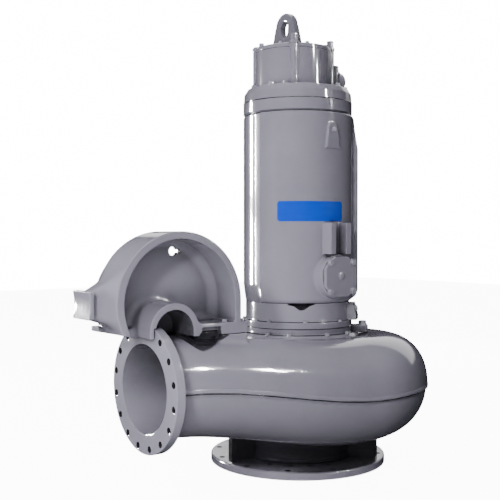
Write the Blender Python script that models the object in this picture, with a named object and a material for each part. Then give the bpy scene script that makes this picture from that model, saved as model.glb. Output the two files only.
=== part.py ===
"""Submersible wastewater pump with its guide claw. Metres, +Z up.

Every piece is worked out around the vertical pump shaft, and the empty "pump_shaft"
then carries them all, so that the origin lies under the middle of the whole pump.
The discharge looks to -X and the inspection cover to -Y.
"""
import math

import bmesh
import bpy
from mathutils import Matrix

# Clearance that touching pieces keep
GAP = 0.0003

# Heights up the shaft
FLANGE_TOP = 0.037
VOLUTE_FLOOR = 0.200
SEAM_HEIGHT = 0.390
COLLAR_SEAT = 0.600
COLLAR_TOP = 0.640
JOINT_HEIGHT = 0.669
BEARING_TOP = 0.700
SEAL_TOP = 0.790
MOTOR_TOP = 1.700
BAND_TOP = 1.763
COVER_TOP = 1.832
BOX_TOP = 2.014
LID_TOP = 2.036
POST_TOP = 2.078
PUMP_HEIGHT = 2.205

# Radii around the shaft
BASE_RADIUS = 0.432
INLET_RADIUS = 0.250
NECK_RADIUS = 0.268
EYE_RADIUS = 0.300
COLLAR_RADIUS = 0.305
CASING_RADIUS = 0.270
SEAL_RADIUS = 0.258
MOTOR_RADIUS = 0.275
BAND_RADIUS = 0.270
DUCT_RADIUS = 0.300
BOX_RADIUS = 0.190

# Spiral casing and its nozzle
TONGUE_ANGLE = math.radians(-135)
SPIRAL_TURN = math.radians(315)
TONGUE_REACH = 0.470
THROAT_REACH = 0.650
SECTION_INNER = 0.180
SECTION_RISE = 0.250
SECTION_DROP = 0.235
SEAM_STEP = 0.008
CASING_WALL = 0.025
NOZZLE_LINE = 0.442
NOZZLE_HEIGHT = 0.519
NOZZLE_RADIUS = 0.200
FLANGE_FACE = 1.118
FLANGE_THICK = 0.038
FLANGE_RADIUS = 0.2525

# Guide claw: a dished casting that stands over the nozzle
CLAW_FRONT = -0.532
CLAW_BACK = -0.348
CLAW_FOOT = 0.719
CLAW_WALL = 0.030
WEB_THICK = 0.022
RIM_CENTRE = (-0.996, 0.851)
RIM_RADIUS = 0.278
TUNNEL_CENTRE = (-1.028, 0.742)
TUNNEL_RADIUS = 0.084
TUNNEL_WALL = 0.027
PAD_TIP = 1.380
PAD_THICK = 0.022
PAD_LOW = 0.803
PAD_HIGH = 0.908
PAD_HALF = 0.071

# Heights along the claw's foot, which rises a little to the left
FOOT_LEFT = -0.813
FOOT_RIGHT = -0.685
FOOT_TOP = 0.765
SEAT_FLOOR = 0.57
WING_END = -1.293
WING_TOP = 0.7695
WING_DROP = 0.0190
WING_LOW = 0.748
WING_FRONT = -0.410
RIM_END = 205
WEB_END = 201
NOSE_START = -1.232
NOSE_FLOOR = 0.7745

# The origin is under the middle of the whole pump
REACH_RIGHT = 0.6230
REACH_FRONT = NOZZLE_LINE + FLANGE_RADIUS
REACH_BACK = 0.5734
SHAFT_PLACE = ((PAD_TIP - REACH_RIGHT) / 2, (REACH_FRONT - REACH_BACK) / 2)

ROUND_STEPS = 48
PAINT = (0.21, 0.21, 0.25)
BRIGHT = (0.24, 0.24, 0.28)
LABEL_BLUE = (0.01, 0.12, 0.62)
HUB_GREY = (0.12, 0.12, 0.13)


def fresh_scene():
    for item in list(bpy.data.objects):
        bpy.data.objects.remove(item)
    shaft = bpy.data.objects.new("pump_shaft", None)
    shaft.location = (SHAFT_PLACE[0], SHAFT_PLACE[1], 0)
    bpy.context.scene.collection.objects.link(shaft)
    return shaft


def paint(name, colour, roughness, metallic=0.0):
    material = bpy.data.materials.new(name)
    material.use_nodes = True
    shader = material.node_tree.nodes["Principled BSDF"]
    shader.inputs["Base Color"].default_value = (*colour, 1)
    shader.inputs["Roughness"].default_value = roughness
    shader.inputs["Metallic"].default_value = metallic
    return material


SHAFT = fresh_scene()
GREY_PAINT = paint("grey_paint", PAINT, 0.3)
COVER_PAINT = paint("cover_paint", BRIGHT, 0.3)
BLUE_LABEL = paint("blue_label", LABEL_BLUE, 0.35)
HUB_IRON = paint("hub_iron", HUB_GREY, 0.5)


def piece(name, mesh_maker, material=GREY_PAINT):
    """Turns a filled bmesh into a named object that hangs on the shaft."""
    bmesh.ops.recalc_face_normals(mesh_maker, faces=mesh_maker.faces)
    mesh = bpy.data.meshes.new(name)
    mesh_maker.to_mesh(mesh)
    mesh_maker.free()
    mesh.materials.append(material)
    mesh.shade_smooth()
    mesh.set_sharp_from_angle(angle=math.radians(30))
    item = bpy.data.objects.new(name, mesh)
    bpy.context.scene.collection.objects.link(item)
    item.parent = SHAFT
    return item


def cutter(name, mesh_maker):
    """A guide shape that only cuts or joins, and isn't part of the pump."""
    item = piece(name, mesh_maker)
    item.hide_render = True
    item.display_type = "WIRE"
    return item


def combine(item, other, operation="DIFFERENCE"):
    step = item.modifiers.new(other.name, "BOOLEAN")
    step.operation = operation
    step.solver = "EXACT"
    step.object = other


def loft(rings):
    """Skins equal rings of points and fills the two ends."""
    maker = bmesh.new()
    rows = [[maker.verts.new(point) for point in ring] for ring in rings]
    count = len(rings[0])
    for row, following in zip(rows, rows[1:]):
        for i in range(count):
            j = (i + 1) % count
            maker.faces.new((row[i], row[j], following[j], following[i]))
    maker.faces.new(rows[0])
    maker.faces.new(rows[-1])
    return maker


def turned(profile, centre=(0, 0), steps=ROUND_STEPS):
    """Turns a profile of (radius, height) about a vertical line.

    A profile that starts and ends on the line gives a solid, any other one a ring.
    """
    maker = bmesh.new()
    angles = [2 * math.pi * step / steps for step in range(steps)]
    rows = []
    for radius, height in profile:
        if radius == 0:
            rows.append([maker.verts.new((centre[0], centre[1], height))] * steps)
            continue
        rows.append([maker.verts.new((centre[0] + radius * math.cos(angle),
                                      centre[1] + radius * math.sin(angle), height))
                     for angle in angles])
    pairs = list(zip(rows, rows[1:]))
    if profile[0][0] > 0:
        pairs.append((rows[-1], rows[0]))
    for row, following in pairs:
        for i in range(steps):
            j = (i + 1) % steps
            corners = [row[i], row[j], following[j], following[i]]
            maker.faces.new(list(dict.fromkeys(corners)))
    return maker


def prism(outline, start, end, axis="Z"):
    """Extrudes an outline along an axis. It is given in XY, XZ or YZ."""
    places = {
        "X": lambda u, v, w: (w, u, v),
        "Y": lambda u, v, w: (u, w, v),
        "Z": lambda u, v, w: (u, v, w),
    }
    place = places[axis]
    return loft([[place(u, v, level) for u, v in outline] for level in (start, end)])


def block(low, high):
    outline = [(low[0], low[1]), (high[0], low[1]), (high[0], high[1]), (low[0], high[1])]
    return prism(outline, low[2], high[2])


def arc(centre, radius, first, last, steps):
    """Points on a circle from one angle to another, in degrees."""
    angles = [math.radians(first + (last - first) * step / steps) for step in range(steps + 1)]
    return [(centre[0] + radius * math.cos(angle), centre[1] + radius * math.sin(angle))
            for angle in angles]


def circle(centre, radius, steps):
    return arc(centre, radius, 0, 360, steps)[:-1]


def stand_round(maker, degrees):
    """Turns a shape that was made along +X to another direction from the shaft."""
    bmesh.ops.rotate(maker, verts=maker.verts, cent=(0, 0, 0),
                     matrix=Matrix.Rotation(math.radians(degrees), 3, "Z"))
    return maker


def joined(makers):
    """Puts solids that don't touch into one mesh, for a cutter of many holes."""
    whole = bmesh.new()
    for maker in makers:
        bmesh.ops.recalc_face_normals(maker, faces=maker.faces)
        lump = bpy.data.meshes.new("lump")
        maker.to_mesh(lump)
        maker.free()
        whole.from_mesh(lump)
        bpy.data.meshes.remove(lump)
    return whole


def ring_of_places(radius, count, first):
    """Centres of equal holes round a circle; first is an angle in degrees."""
    return [(radius * math.cos(math.radians(first + 360 * k / count)),
             radius * math.sin(math.radians(first + 360 * k / count))) for k in range(count)]


def ease(share):
    return share * share * (3 - 2 * share)


def mix(start, end, share):
    return start + (end - start) * share


# Spiral casing

UPPER_POINTS = 11
LOWER_POINTS = 9
MAIN_START = 0.30
TONGUE_STEPS = 9
MAIN_STEPS = 20
NOZZLE_STEPS = 9


def section(centre_out, centre_up, half_width, rise, drop, step, fullness):
    """Outline of the passage's wall as (distance from the shaft, height)."""
    points = []
    for i in range(UPPER_POINTS):
        angle = math.pi * i / (UPPER_POINTS - 1)
        across = math.copysign(abs(math.cos(angle)) ** (2 / fullness), math.cos(angle))
        up = math.sin(angle) ** (2 / fullness)
        points.append((centre_out + half_width * across, centre_up + rise * up))
    for i in range(LOWER_POINTS):
        angle = math.pi + math.pi * i / (LOWER_POINTS - 1)
        low = drop * math.sin(angle) - step * 0.2
        points.append((centre_out + (half_width - step) * math.cos(angle), centre_up + low))
    return points


def spiral_ring(share, grow):
    """Section of the spiral; share runs from 0 at the tongue to 1 at the throat."""
    turn = TONGUE_ANGLE - SPIRAL_TURN * share
    reach = mix(TONGUE_REACH, THROAT_REACH, 1 - (1 - share) ** 1.5)
    half_width = (reach - SECTION_INNER) / 2
    full_width = (THROAT_REACH - SECTION_INNER) / 2
    outline = section(SECTION_INNER + half_width, SEAM_HEIGHT, half_width + grow,
                      SECTION_RISE * half_width / full_width + grow,
                      SECTION_DROP * half_width / full_width + grow, SEAM_STEP, 2.3)
    return [(out * math.cos(turn), out * math.sin(turn), up) for out, up in outline]


def nozzle_ring(share, grow, length):
    """Section of the nozzle; share runs from 0 at the throat to 1 at the flange."""
    half_width = (THROAT_REACH - SECTION_INNER) / 2
    line = mix(SECTION_INNER + half_width, NOZZLE_LINE, ease(share))
    outline = section(line, mix(SEAM_HEIGHT, NOZZLE_HEIGHT, ease(share)),
                      mix(half_width, NOZZLE_RADIUS, ease(share)) + grow,
                      mix(SECTION_RISE, NOZZLE_RADIUS, ease(share)) + grow,
                      mix(SECTION_DROP, NOZZLE_RADIUS, ease(share)) + grow,
                      mix(SEAM_STEP, SEAM_STEP / 2, share), mix(2.3, 2.0, share))
    return [(-length * share, -out, up) for out, up in outline]


def tongue_tube(grow, first_share=0.0):
    """The spiral's first part, which ends just inside the main run."""
    rings = []
    for step in range(TONGUE_STEPS + 1):
        share = mix(first_share, MAIN_START + 0.05, step / TONGUE_STEPS)
        rings.append(spiral_ring(share, grow - 0.0008))
    return loft(rings)


def main_tube(grow, overrun=0.0):
    """The spiral's main run, which carries on as the nozzle."""
    length = FLANGE_FACE - FLANGE_THICK - GAP
    rings = [spiral_ring(mix(MAIN_START, 1, step / MAIN_STEPS), grow)
             for step in range(MAIN_STEPS)]
    rings += [nozzle_ring(step / NOZZLE_STEPS, grow, length) for step in range(NOZZLE_STEPS + 1)]
    if overrun:
        rings.append([(x - overrun, y, z) for x, y, z in rings[-1]])
    return loft(rings)


# Where the casing is parted: into quarters, in degrees round the shaft, and a nozzle
QUARTERS = ("front", "right", "rear", "left")
FIRST_PARTING = -86.25
PARTING_GAP = 0.035
NOZZLE_START = -0.50
NOZZLE_SIDE = -0.15
WELD_REACH = 0.0001


def casing_solid():
    """The whole hollow casing, from which the parted pieces are taken."""
    casing = cutter("casing_solid", main_tube(0))
    eye = turned([(0, COLLAR_SEAT + 0.01), (EYE_RADIUS, COLLAR_SEAT + 0.01),
                  (EYE_RADIUS, VOLUTE_FLOOR), (0, VOLUTE_FLOOR)])
    chamber = turned([(0, 1.0), (INLET_RADIUS, 1.0), (INLET_RADIUS, 0.1), (0, 0.1)])
    pocket = turned([(0, 1.0), (COLLAR_RADIUS + GAP, 1.0),
                     (COLLAR_RADIUS + GAP, COLLAR_SEAT), (0, COLLAR_SEAT)])
    combine(casing, cutter("tongue_solid", tongue_tube(0)), "UNION")
    combine(casing, cutter("eye_solid", eye), "UNION")
    combine(casing, cutter("main_space", main_tube(-CASING_WALL, 0.05)))
    combine(casing, cutter("tongue_space", tongue_tube(-CASING_WALL, 0.06)))
    combine(casing, cutter("chamber_space", chamber))
    combine(casing, cutter("collar_pocket", pocket))
    weld = casing.modifiers.new("weld", "WELD")
    weld.merge_threshold = WELD_REACH
    return casing


def volute():
    """The casing in quarters and a nozzle, each open enough to stay hollow."""
    casing = casing_solid()
    room = block((-1.3, -0.9, 0.1), (NOZZLE_START + GAP, NOZZLE_SIDE, 0.9))
    room = cutter("nozzle_room", room)
    for number, name in enumerate(QUARTERS):
        first = FIRST_PARTING + 90 * number + PARTING_GAP
        wedge = [(0, 0)] + arc((0, 0), 1.2, first, first + 90 - 2 * PARTING_GAP, 3)
        quarter = piece(f"volute_{name}", prism(wedge, 0.1, 0.9))
        if name == "left":
            combine(quarter, room)
        combine(quarter, casing, "INTERSECT")
    nozzle = piece("discharge_nozzle", block((-1.2, -0.8, 0.2), (NOZZLE_START, NOZZLE_SIDE, 0.8)))
    combine(nozzle, casing, "INTERSECT")


def discharge_flange():
    face = -FLANGE_FACE
    centre = (-NOZZLE_LINE, NOZZLE_HEIGHT)
    disc = prism(circle((centre[0], centre[1]), FLANGE_RADIUS, ROUND_STEPS),
                 face, face + FLANGE_THICK, "X")
    flange = piece("discharge_flange", disc)
    bore_radius = NOZZLE_RADIUS - CASING_WALL
    bore = prism(circle(centre, bore_radius, 32), face - 0.01, face + 0.05, "X")
    holes = []
    for y, z in ring_of_places(0.230, 16, 11.25):
        place = (centre[0] + y, centre[1] + z)
        holes.append(prism(circle(place, 0.0115, 10), face - 0.01, face + 0.05, "X"))
    combine(flange, cutter("flange_bore", bore))
    combine(flange, cutter("flange_holes", joined(holes)))


# Foot and inlet

LEG_REACH = 0.408
LEG_HALF = 0.014


def base():
    flange = piece("base_flange", turned([(INLET_RADIUS, FLANGE_TOP), (BASE_RADIUS, FLANGE_TOP),
                                          (BASE_RADIUS, 0), (INLET_RADIUS, 0)]))
    holes = []
    for radius, count, first, size in ((0.310, 20, 9, 0.0135), (0.3975, 12, 15, 0.013)):
        for place in ring_of_places(radius, count, first):
            holes.append(prism(circle(place, size, 8), -0.01, FLANGE_TOP + 0.01))
    combine(flange, cutter("base_holes", joined(holes)))
    piece("inlet_neck", turned([(INLET_RADIUS, VOLUTE_FLOOR - GAP),
                                (NECK_RADIUS, VOLUTE_FLOOR - GAP),
                                (NECK_RADIUS, FLANGE_TOP + GAP),
                                (INLET_RADIUS, FLANGE_TOP + GAP)]))


def stand_legs():
    skins = [cutter("casing_clearance", main_tube(GAP * 1.5)),
             cutter("tongue_clearance", tongue_tube(GAP * 1.5))]
    foot = FLANGE_TOP + GAP
    start = NECK_RADIUS + GAP
    outline = [(start, foot), (LEG_REACH, foot), (LEG_REACH, 0.40), (EYE_RADIUS + 0.001, 0.40),
               (EYE_RADIUS + 0.001, VOLUTE_FLOOR - GAP), (start, VOLUTE_FLOOR - GAP)]
    for number, degrees in enumerate((180, -60, 60), start=1):
        leg = stand_round(prism(outline, -LEG_HALF, LEG_HALF, "Y"), degrees)
        leg = piece(f"stand_leg_{number}", leg)
        for skin in skins:
            combine(leg, skin)


# Rings between the casing and the motor

LUG_REACH = 0.352
LUG_HALF = 0.036
PHOTO_RIGHT = -35.8


def collar_and_rings():
    piece("volute_collar", turned([(0, COLLAR_TOP), (COLLAR_RADIUS - 0.012, COLLAR_TOP),
                                   (COLLAR_RADIUS, COLLAR_TOP - 0.012),
                                   (COLLAR_RADIUS, COLLAR_SEAT + GAP), (0, COLLAR_SEAT + GAP)]))
    piece("casing_flange", turned([(0, JOINT_HEIGHT - GAP), (CASING_RADIUS, JOINT_HEIGHT - GAP),
                                   (CASING_RADIUS, COLLAR_TOP + GAP), (0, COLLAR_TOP + GAP)]))
    piece("bearing_flange", turned([(0, BEARING_TOP), (CASING_RADIUS, BEARING_TOP),
                                    (CASING_RADIUS, JOINT_HEIGHT), (0, JOINT_HEIGHT)]))
    piece("seal_housing", turned([(0, SEAL_TOP), (SEAL_RADIUS, SEAL_TOP),
                                  (SEAL_RADIUS, BEARING_TOP + GAP), (0, BEARING_TOP + GAP)]))


def side_lug():
    """Ear on the casing flange at the photograph's right."""
    start = CASING_RADIUS + GAP
    outline = [(start - 0.02, -LUG_HALF), (LUG_REACH - 0.02, -LUG_HALF)]
    outline += arc((LUG_REACH - 0.02, 0), 0.02, -90, 90, 6)
    outline += [(LUG_REACH - 0.02, LUG_HALF), (start - 0.02, LUG_HALF)]
    lug = piece("side_lug", stand_round(prism(outline, COLLAR_TOP - 0.008, JOINT_HEIGHT - GAP),
                                        PHOTO_RIGHT))
    ring = turned([(0, 1.0), (start, 1.0), (start, 0.5), (0, 0.5)])
    step = turned([(0, COLLAR_TOP + GAP), (COLLAR_RADIUS + GAP, COLLAR_TOP + GAP),
                   (COLLAR_RADIUS + GAP, 0.5), (0, 0.5)])
    combine(lug, cutter("lug_seat", ring))
    combine(lug, cutter("lug_step", step))


def drain_lug():
    """Tapered lug on the seal housing that carries a drain screw."""
    outline = [(0.20, BEARING_TOP + GAP), (0.300, BEARING_TOP + GAP), (0.300, 0.722),
               (0.284, SEAL_TOP - 0.006), (0.20, SEAL_TOP - 0.006)]
    lug = piece("drain_lug", stand_round(prism(outline, -0.045, 0.045, "Y"), -50))
    seat = turned([(0, 1.0), (SEAL_RADIUS + GAP, 1.0), (SEAL_RADIUS + GAP, 0.5), (0, 0.5)])
    combine(lug, cutter("drain_seat", seat))


# Motor

DUCT_SIDE = -26
DUCT_SPREAD = 20


def motor_skin(low, high):
    """Clearance shape for what is seated on the round motor housing."""
    radius = MOTOR_RADIUS + GAP * 1.2
    return turned([(0, high), (radius, high), (radius, low), (0, low)])


def stator_housing():
    chamfer = 0.020
    piece("stator_housing", turned([
        (0, MOTOR_TOP), (MOTOR_RADIUS - 0.008, MOTOR_TOP), (MOTOR_RADIUS, MOTOR_TOP - chamfer),
        (MOTOR_RADIUS, SEAL_TOP + chamfer), (MOTOR_RADIUS - 0.012, SEAL_TOP + GAP),
        (0, SEAL_TOP + GAP)]))


def cable_duct(skin):
    """Cast cable way down the housing's side, which fades out below the top."""
    low = SEAL_TOP + 0.021
    stations = ((low, DUCT_RADIUS - 0.012), (low + 0.030, DUCT_RADIUS), (1.540, DUCT_RADIUS),
                (1.680, MOTOR_RADIUS + 0.002))
    rings = []
    for height, radius in stations:
        outline = arc((0, 0), radius, -DUCT_SPREAD, DUCT_SPREAD, 6)
        outline += arc((0, 0), 0.240, DUCT_SPREAD + 4, -DUCT_SPREAD - 4, 2)
        rings.append([(x, y, height) for x, y in outline])
    combine(piece("cable_duct", stand_round(loft(rings), DUCT_SIDE)), skin)


COVER_FRONT = -0.332
COVER_THICK = 0.020
COVER_HEIGHT = 0.918
COVER_HALF = 0.095
COVER_CORNER = 0.038


def inspection_cover(skin):
    boss = prism(circle((0, COVER_HEIGHT), 0.105, 32), COVER_FRONT + COVER_THICK + GAP, -0.20, "Y")
    combine(piece("inspection_boss", boss, COVER_PAINT), skin)
    half = COVER_HALF
    cut = COVER_CORNER
    corners = [(half, -half + cut), (half, half - cut), (half - cut, half), (-half + cut, half),
               (-half, half - cut), (-half, -half + cut), (-half + cut, -half),
               (half - cut, -half)]
    outline = [(x, COVER_HEIGHT + z) for x, z in corners]
    plate = prism(outline, COVER_FRONT, COVER_FRONT + COVER_THICK, "Y")
    piece("inspection_cover", plate, COVER_PAINT)
    plug = prism(circle((0, COVER_HEIGHT), 0.020, 20), COVER_FRONT - 0.006, COVER_FRONT - GAP, "Y")
    piece("cover_plug", plug, COVER_PAINT)


def coolant_ribs(skin):
    for side, middle in (("left", -0.047), ("right", 0.047)):
        rib = block((middle - 0.016, -0.329, 1.024), (middle + 0.016, -0.20, 1.172))
        combine(piece(f"coolant_rib_{side}", rib), skin)


def cast_boss(skin):
    """Bell-shaped pad below the top band that carries an earth screw."""
    outline = [(-0.042, 1.518), (0.042, 1.518), (0.036, 1.560), (0.030, 1.612)]
    outline += arc((0, 1.616), 0.028, 0, 180, 8)
    outline += [(-0.030, 1.612), (-0.036, 1.560)]
    combine(piece("cast_boss", prism(outline, -0.286, -0.20, "Y")), skin)


def name_label():
    first = -148
    last = -78
    steps = 14
    inner = arc((0, 0), MOTOR_RADIUS + GAP, first, last, steps)
    outer = arc((0, 0), MOTOR_RADIUS + 0.0018, last, first, steps)
    piece("name_label", prism(inner + outer, 1.176, 1.276), BLUE_LABEL)


def top_end():
    groove = 0.008
    piece("top_band", turned([
        (0, BAND_TOP), (BAND_RADIUS, BAND_TOP),
        (BAND_RADIUS, MOTOR_TOP + groove), (BAND_RADIUS - groove, MOTOR_TOP + groove - 0.001),
        (BAND_RADIUS - groove, MOTOR_TOP + GAP), (0, MOTOR_TOP + GAP)]))
    piece("cover_flange", turned([
        (0, COVER_TOP), (BAND_RADIUS - 0.020, COVER_TOP), (BAND_RADIUS - 0.004, COVER_TOP - 0.027),
        (BAND_RADIUS - 0.002, BAND_TOP + GAP), (0, BAND_TOP + GAP)]))


# Terminal box

BOX_CENTRE = (-0.0166, 0.0120)
POST_RADIUS = 0.020
POST_RING = 0.182
POST_COUNT = 4
FIRST_POST = -127.8


def terminal_box():
    places = [(BOX_CENTRE[0] + x, BOX_CENTRE[1] + y)
              for x, y in ring_of_places(POST_RING, POST_COUNT, FIRST_POST)]
    low = COVER_TOP + GAP
    box = piece("terminal_box", turned([(0, BOX_TOP), (BOX_RADIUS, BOX_TOP),
                                        (BOX_RADIUS, low), (0, low)], BOX_CENTRE))
    lid = piece("box_lid", turned([(0, LID_TOP), (BOX_RADIUS - 0.004, LID_TOP),
                                   (BOX_RADIUS, LID_TOP - 0.004), (BOX_RADIUS, BOX_TOP + GAP),
                                   (0, BOX_TOP + GAP)], BOX_CENTRE), COVER_PAINT)
    slots = [prism(circle(place, POST_RADIUS + GAP * 1.2, 12), 1.7, 2.2) for place in places]
    slot_cutter = cutter("post_slots", joined(slots))
    combine(box, slot_cutter)
    combine(lid, slot_cutter)
    for number, place in enumerate(places, start=1):
        piece(f"lid_post_{number}", prism(circle(place, POST_RADIUS, 12), low, POST_TOP))


HANDLE_PLACE = (-0.061, 0.009)
HANDLE_THICK = 0.040


def lifting_handle():
    """Shackle that stands on the lid with its eye open to both sides."""
    middle = HANDLE_PLACE[1]
    crown = PUMP_HEIGHT - 0.062
    outline = [(middle + 0.095, LID_TOP + GAP), (middle + 0.068, 2.140)]
    outline += arc((middle, crown), 0.062, 10, 170, 10)
    outline += [(middle - 0.068, 2.140), (middle - 0.095, LID_TOP + GAP)]
    start = HANDLE_PLACE[0] - HANDLE_THICK / 2
    handle = piece("lifting_handle", prism(outline, start, start + HANDLE_THICK, "X"), COVER_PAINT)
    eye = arc((middle, crown - 0.006), 0.034, 0, 180, 8)
    eye += [(middle - 0.026, 2.105), (middle, 2.082), (middle + 0.026, 2.105)]
    combine(handle, cutter("handle_eye", prism(eye, start - 0.01, start + 0.05, "X")))


GLAND_SIDE = -11
GLAND_HEIGHT = 1.895


def cable_gland():
    """Cable entry on the terminal box, behind its right post."""
    low = COVER_TOP + GAP
    reach = 0.237
    body = stand_round(block((0.15, -0.050, low), (reach, 0.050, 1.970)), GLAND_SIDE)
    bmesh.ops.translate(body, verts=body.verts, vec=(*BOX_CENTRE, 0))
    holder = piece("gland_block", body, COVER_PAINT)
    radius = BOX_RADIUS + GAP * 1.2
    seat = turned([(0, 2.1), (radius, 2.1), (radius, 1.7), (0, 1.7)], BOX_CENTRE)
    combine(holder, cutter("gland_seat", seat))
    steps = ((reach + GAP, 0.044), (0.272, 0.044), (0.272, 0.036), (0.289, 0.032))
    rings = []
    for out, size in steps:
        rings.append([(out, y, z) for y, z in circle((0, GLAND_HEIGHT), size, 20)])
    gland = stand_round(loft(rings), GLAND_SIDE)
    bmesh.ops.translate(gland, verts=gland.verts, vec=(*BOX_CENTRE, 0))
    piece("cable_gland", gland, COVER_PAINT)


# Guide claw

def claw_rim():
    """Rim of the dish: straight down at the right, curving in at the left."""
    centre = RIM_CENTRE
    inner = RIM_RADIUS - CLAW_WALL
    right_foot = FOOT_TOP + GAP
    outline = [(centre[0] + RIM_RADIUS, right_foot)]
    outline += arc(centre, RIM_RADIUS, 0, RIM_END, 28)
    outline += arc(centre, inner, RIM_END + 5, 0, 28)
    outline += [(centre[0] + inner, right_foot)]
    rim = piece("claw_rim", prism(outline, CLAW_FRONT, CLAW_BACK, "Y"))
    left = TUNNEL_CENTRE[0] - TUNNEL_RADIUS - TUNNEL_WALL
    slope = WING_DROP / (left - WING_END)
    room = [(-1.4, 0.6), (-1.1, 0.6), (-1.1, WING_TOP + GAP - slope * (-1.1 - WING_END)),
            (-1.4, WING_TOP + GAP + slope * (WING_END + 1.4))]
    combine(rim, cutter("wing_room", prism(room, WING_FRONT - GAP, CLAW_BACK + 0.01, "Y")))


def claw_web():
    """Back wall of the dish, closed down behind the tunnel, with its round hole."""
    centre = RIM_CENTRE
    inner = RIM_RADIUS - CLAW_WALL - GAP * 2
    outer = TUNNEL_RADIUS + TUNNEL_WALL
    left = TUNNEL_CENTRE[0] - outer
    right = TUNNEL_CENTRE[0] + outer
    outline = [(centre[0] + inner, FOOT_TOP + GAP)]
    outline += arc(centre, inner, 0, WEB_END, 26)
    outline += [(left, WING_TOP - WING_DROP + GAP * 2),
                (left, CLAW_FOOT + GAP), (right, CLAW_FOOT + GAP), (right, FOOT_TOP + GAP)]
    web = piece("claw_web", prism(outline, CLAW_BACK - WEB_THICK, CLAW_BACK, "Y"))
    hole = prism(circle((-0.941, 1.049), 0.023, 16), CLAW_BACK - 0.05, CLAW_BACK + 0.05, "Y")
    combine(web, cutter("web_hole", hole))
    notch = prism(circle((-NOZZLE_LINE, NOZZLE_HEIGHT), FLANGE_RADIUS + 0.003, ROUND_STEPS),
                  -FLANGE_FACE - 0.002, FLANGE_THICK - FLANGE_FACE + 0.01, "X")
    combine(web, cutter("flange_notch", notch))


def claw_hub():
    """Half tunnel that passes over the discharge flange."""
    outer = TUNNEL_RADIUS + TUNNEL_WALL
    outline = [(TUNNEL_CENTRE[0] + outer, CLAW_FOOT + GAP)]
    outline += arc(TUNNEL_CENTRE, outer, 0, 180, 16)
    outline += [(TUNNEL_CENTRE[0] - outer, CLAW_FOOT + GAP),
                (TUNNEL_CENTRE[0] - TUNNEL_RADIUS, CLAW_FOOT + GAP)]
    outline += arc(TUNNEL_CENTRE, TUNNEL_RADIUS, 180, 0, 16)
    outline += [(TUNNEL_CENTRE[0] + TUNNEL_RADIUS, CLAW_FOOT + GAP)]
    back = CLAW_BACK - WEB_THICK - GAP
    hub = piece("claw_hub", prism(outline, CLAW_FRONT, back, "Y"))
    combine(hub, bpy.data.objects["flange_notch"])


def claw_feet():
    right = TUNNEL_CENTRE[0] + TUNNEL_RADIUS + TUNNEL_WALL + GAP
    left = TUNNEL_CENTRE[0] - TUNNEL_RADIUS - TUNNEL_WALL - GAP
    wing = [(left, CLAW_FOOT + GAP), (left, WING_TOP - WING_DROP), (WING_END, WING_TOP),
            (WING_END, WING_LOW)]
    piece("claw_base_left", prism(wing, WING_FRONT, CLAW_BACK, "Y"))
    piece("claw_base_right", block((right, CLAW_FRONT, FOOT_TOP - CLAW_WALL),
                                   (FOOT_LEFT - GAP, CLAW_BACK, FOOT_TOP)))
    piece("claw_foot", block((FOOT_LEFT, CLAW_FRONT, CLAW_FOOT + GAP),
                             (FOOT_RIGHT, CLAW_BACK, FOOT_TOP)))
    seat = piece("claw_seat", block((FOOT_LEFT, CLAW_FRONT, SEAT_FLOOR),
                                    (FOOT_RIGHT, CLAW_BACK, CLAW_FOOT)))
    combine(seat, bpy.data.objects["casing_clearance"])


def claw_nose():
    """Horn that flares from the pad's neck to the full depth of the rim."""
    middle = (CLAW_FRONT + CLAW_BACK) / 2
    depth = (CLAW_BACK - CLAW_FRONT) / 2
    neck = 0.049
    steps = 7
    rings = []
    for step in range(steps + 1):
        share = step / steps
        x = mix(NOSE_START, PAD_THICK + GAP - PAD_TIP, share)
        half = mix(neck, depth, (1 - share) ** 2)
        low = mix(NOSE_FLOOR, PAD_LOW + 0.002, share ** 2)
        high = mix(0.964, PAD_HIGH - 0.006, share)
        rings.append([(x, middle - half, low), (x, middle + half, low),
                      (x, middle + half, high), (x, middle - half, high)])
    nose = piece("claw_nose", loft(rings))
    outer = RIM_RADIUS + GAP * 2
    seat = prism(circle(RIM_CENTRE, outer, 56), CLAW_FRONT - 0.01, CLAW_BACK + 0.01, "Y")
    combine(nose, cutter("nose_seat", seat))


def claw_pad():
    """Guide pad with a hollowed end face."""
    hollow = 0.007
    back = PAD_THICK - PAD_TIP
    outline = [(back, PAD_LOW)]
    outline += [(back, PAD_HIGH), (-PAD_TIP, PAD_HIGH)]
    for share in (0.75, 0.5, 0.25):
        sag = hollow * (1 - (2 * share - 1) ** 2)
        outline.append((-PAD_TIP + sag, mix(PAD_LOW, PAD_HIGH, share)))
    outline.append((-PAD_TIP, PAD_LOW))
    middle = (CLAW_FRONT + CLAW_BACK) / 2
    piece("claw_pad", prism(outline, middle - PAD_HALF, middle + PAD_HALF, "Y"))


# Impeller

VANE_COUNT = 3


def impeller():
    """Shaft end, shroud and curved vanes above the inlet."""
    hub = turned([(0, COLLAR_SEAT), (0.060, COLLAR_SEAT), (0.060, 0.540), (0.225, 0.525),
                  (0.225, 0.500), (0.070, 0.470), (0.040, 0.300), (0, 0.280)], steps=24)
    wheel = piece("impeller", hub, HUB_IRON)
    for vane in range(VANE_COUNT):
        inner_side = []
        outer_side = []
        for step in range(7):
            share = step / 6
            angle = math.radians(360 * vane / VANE_COUNT + 120 * share)
            reach = mix(0.03, 0.215, share)
            inner_side.append(((reach - 0.007) * math.cos(angle), (reach - 0.007) * math.sin(angle)))
            outer_side.append(((reach + 0.007) * math.cos(angle), (reach + 0.007) * math.sin(angle)))
        outline = inner_side + outer_side[::-1]
        combine(wheel, cutter(f"vane_{vane + 1}", prism(outline, 0.310, 0.515)), "UNION")


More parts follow.
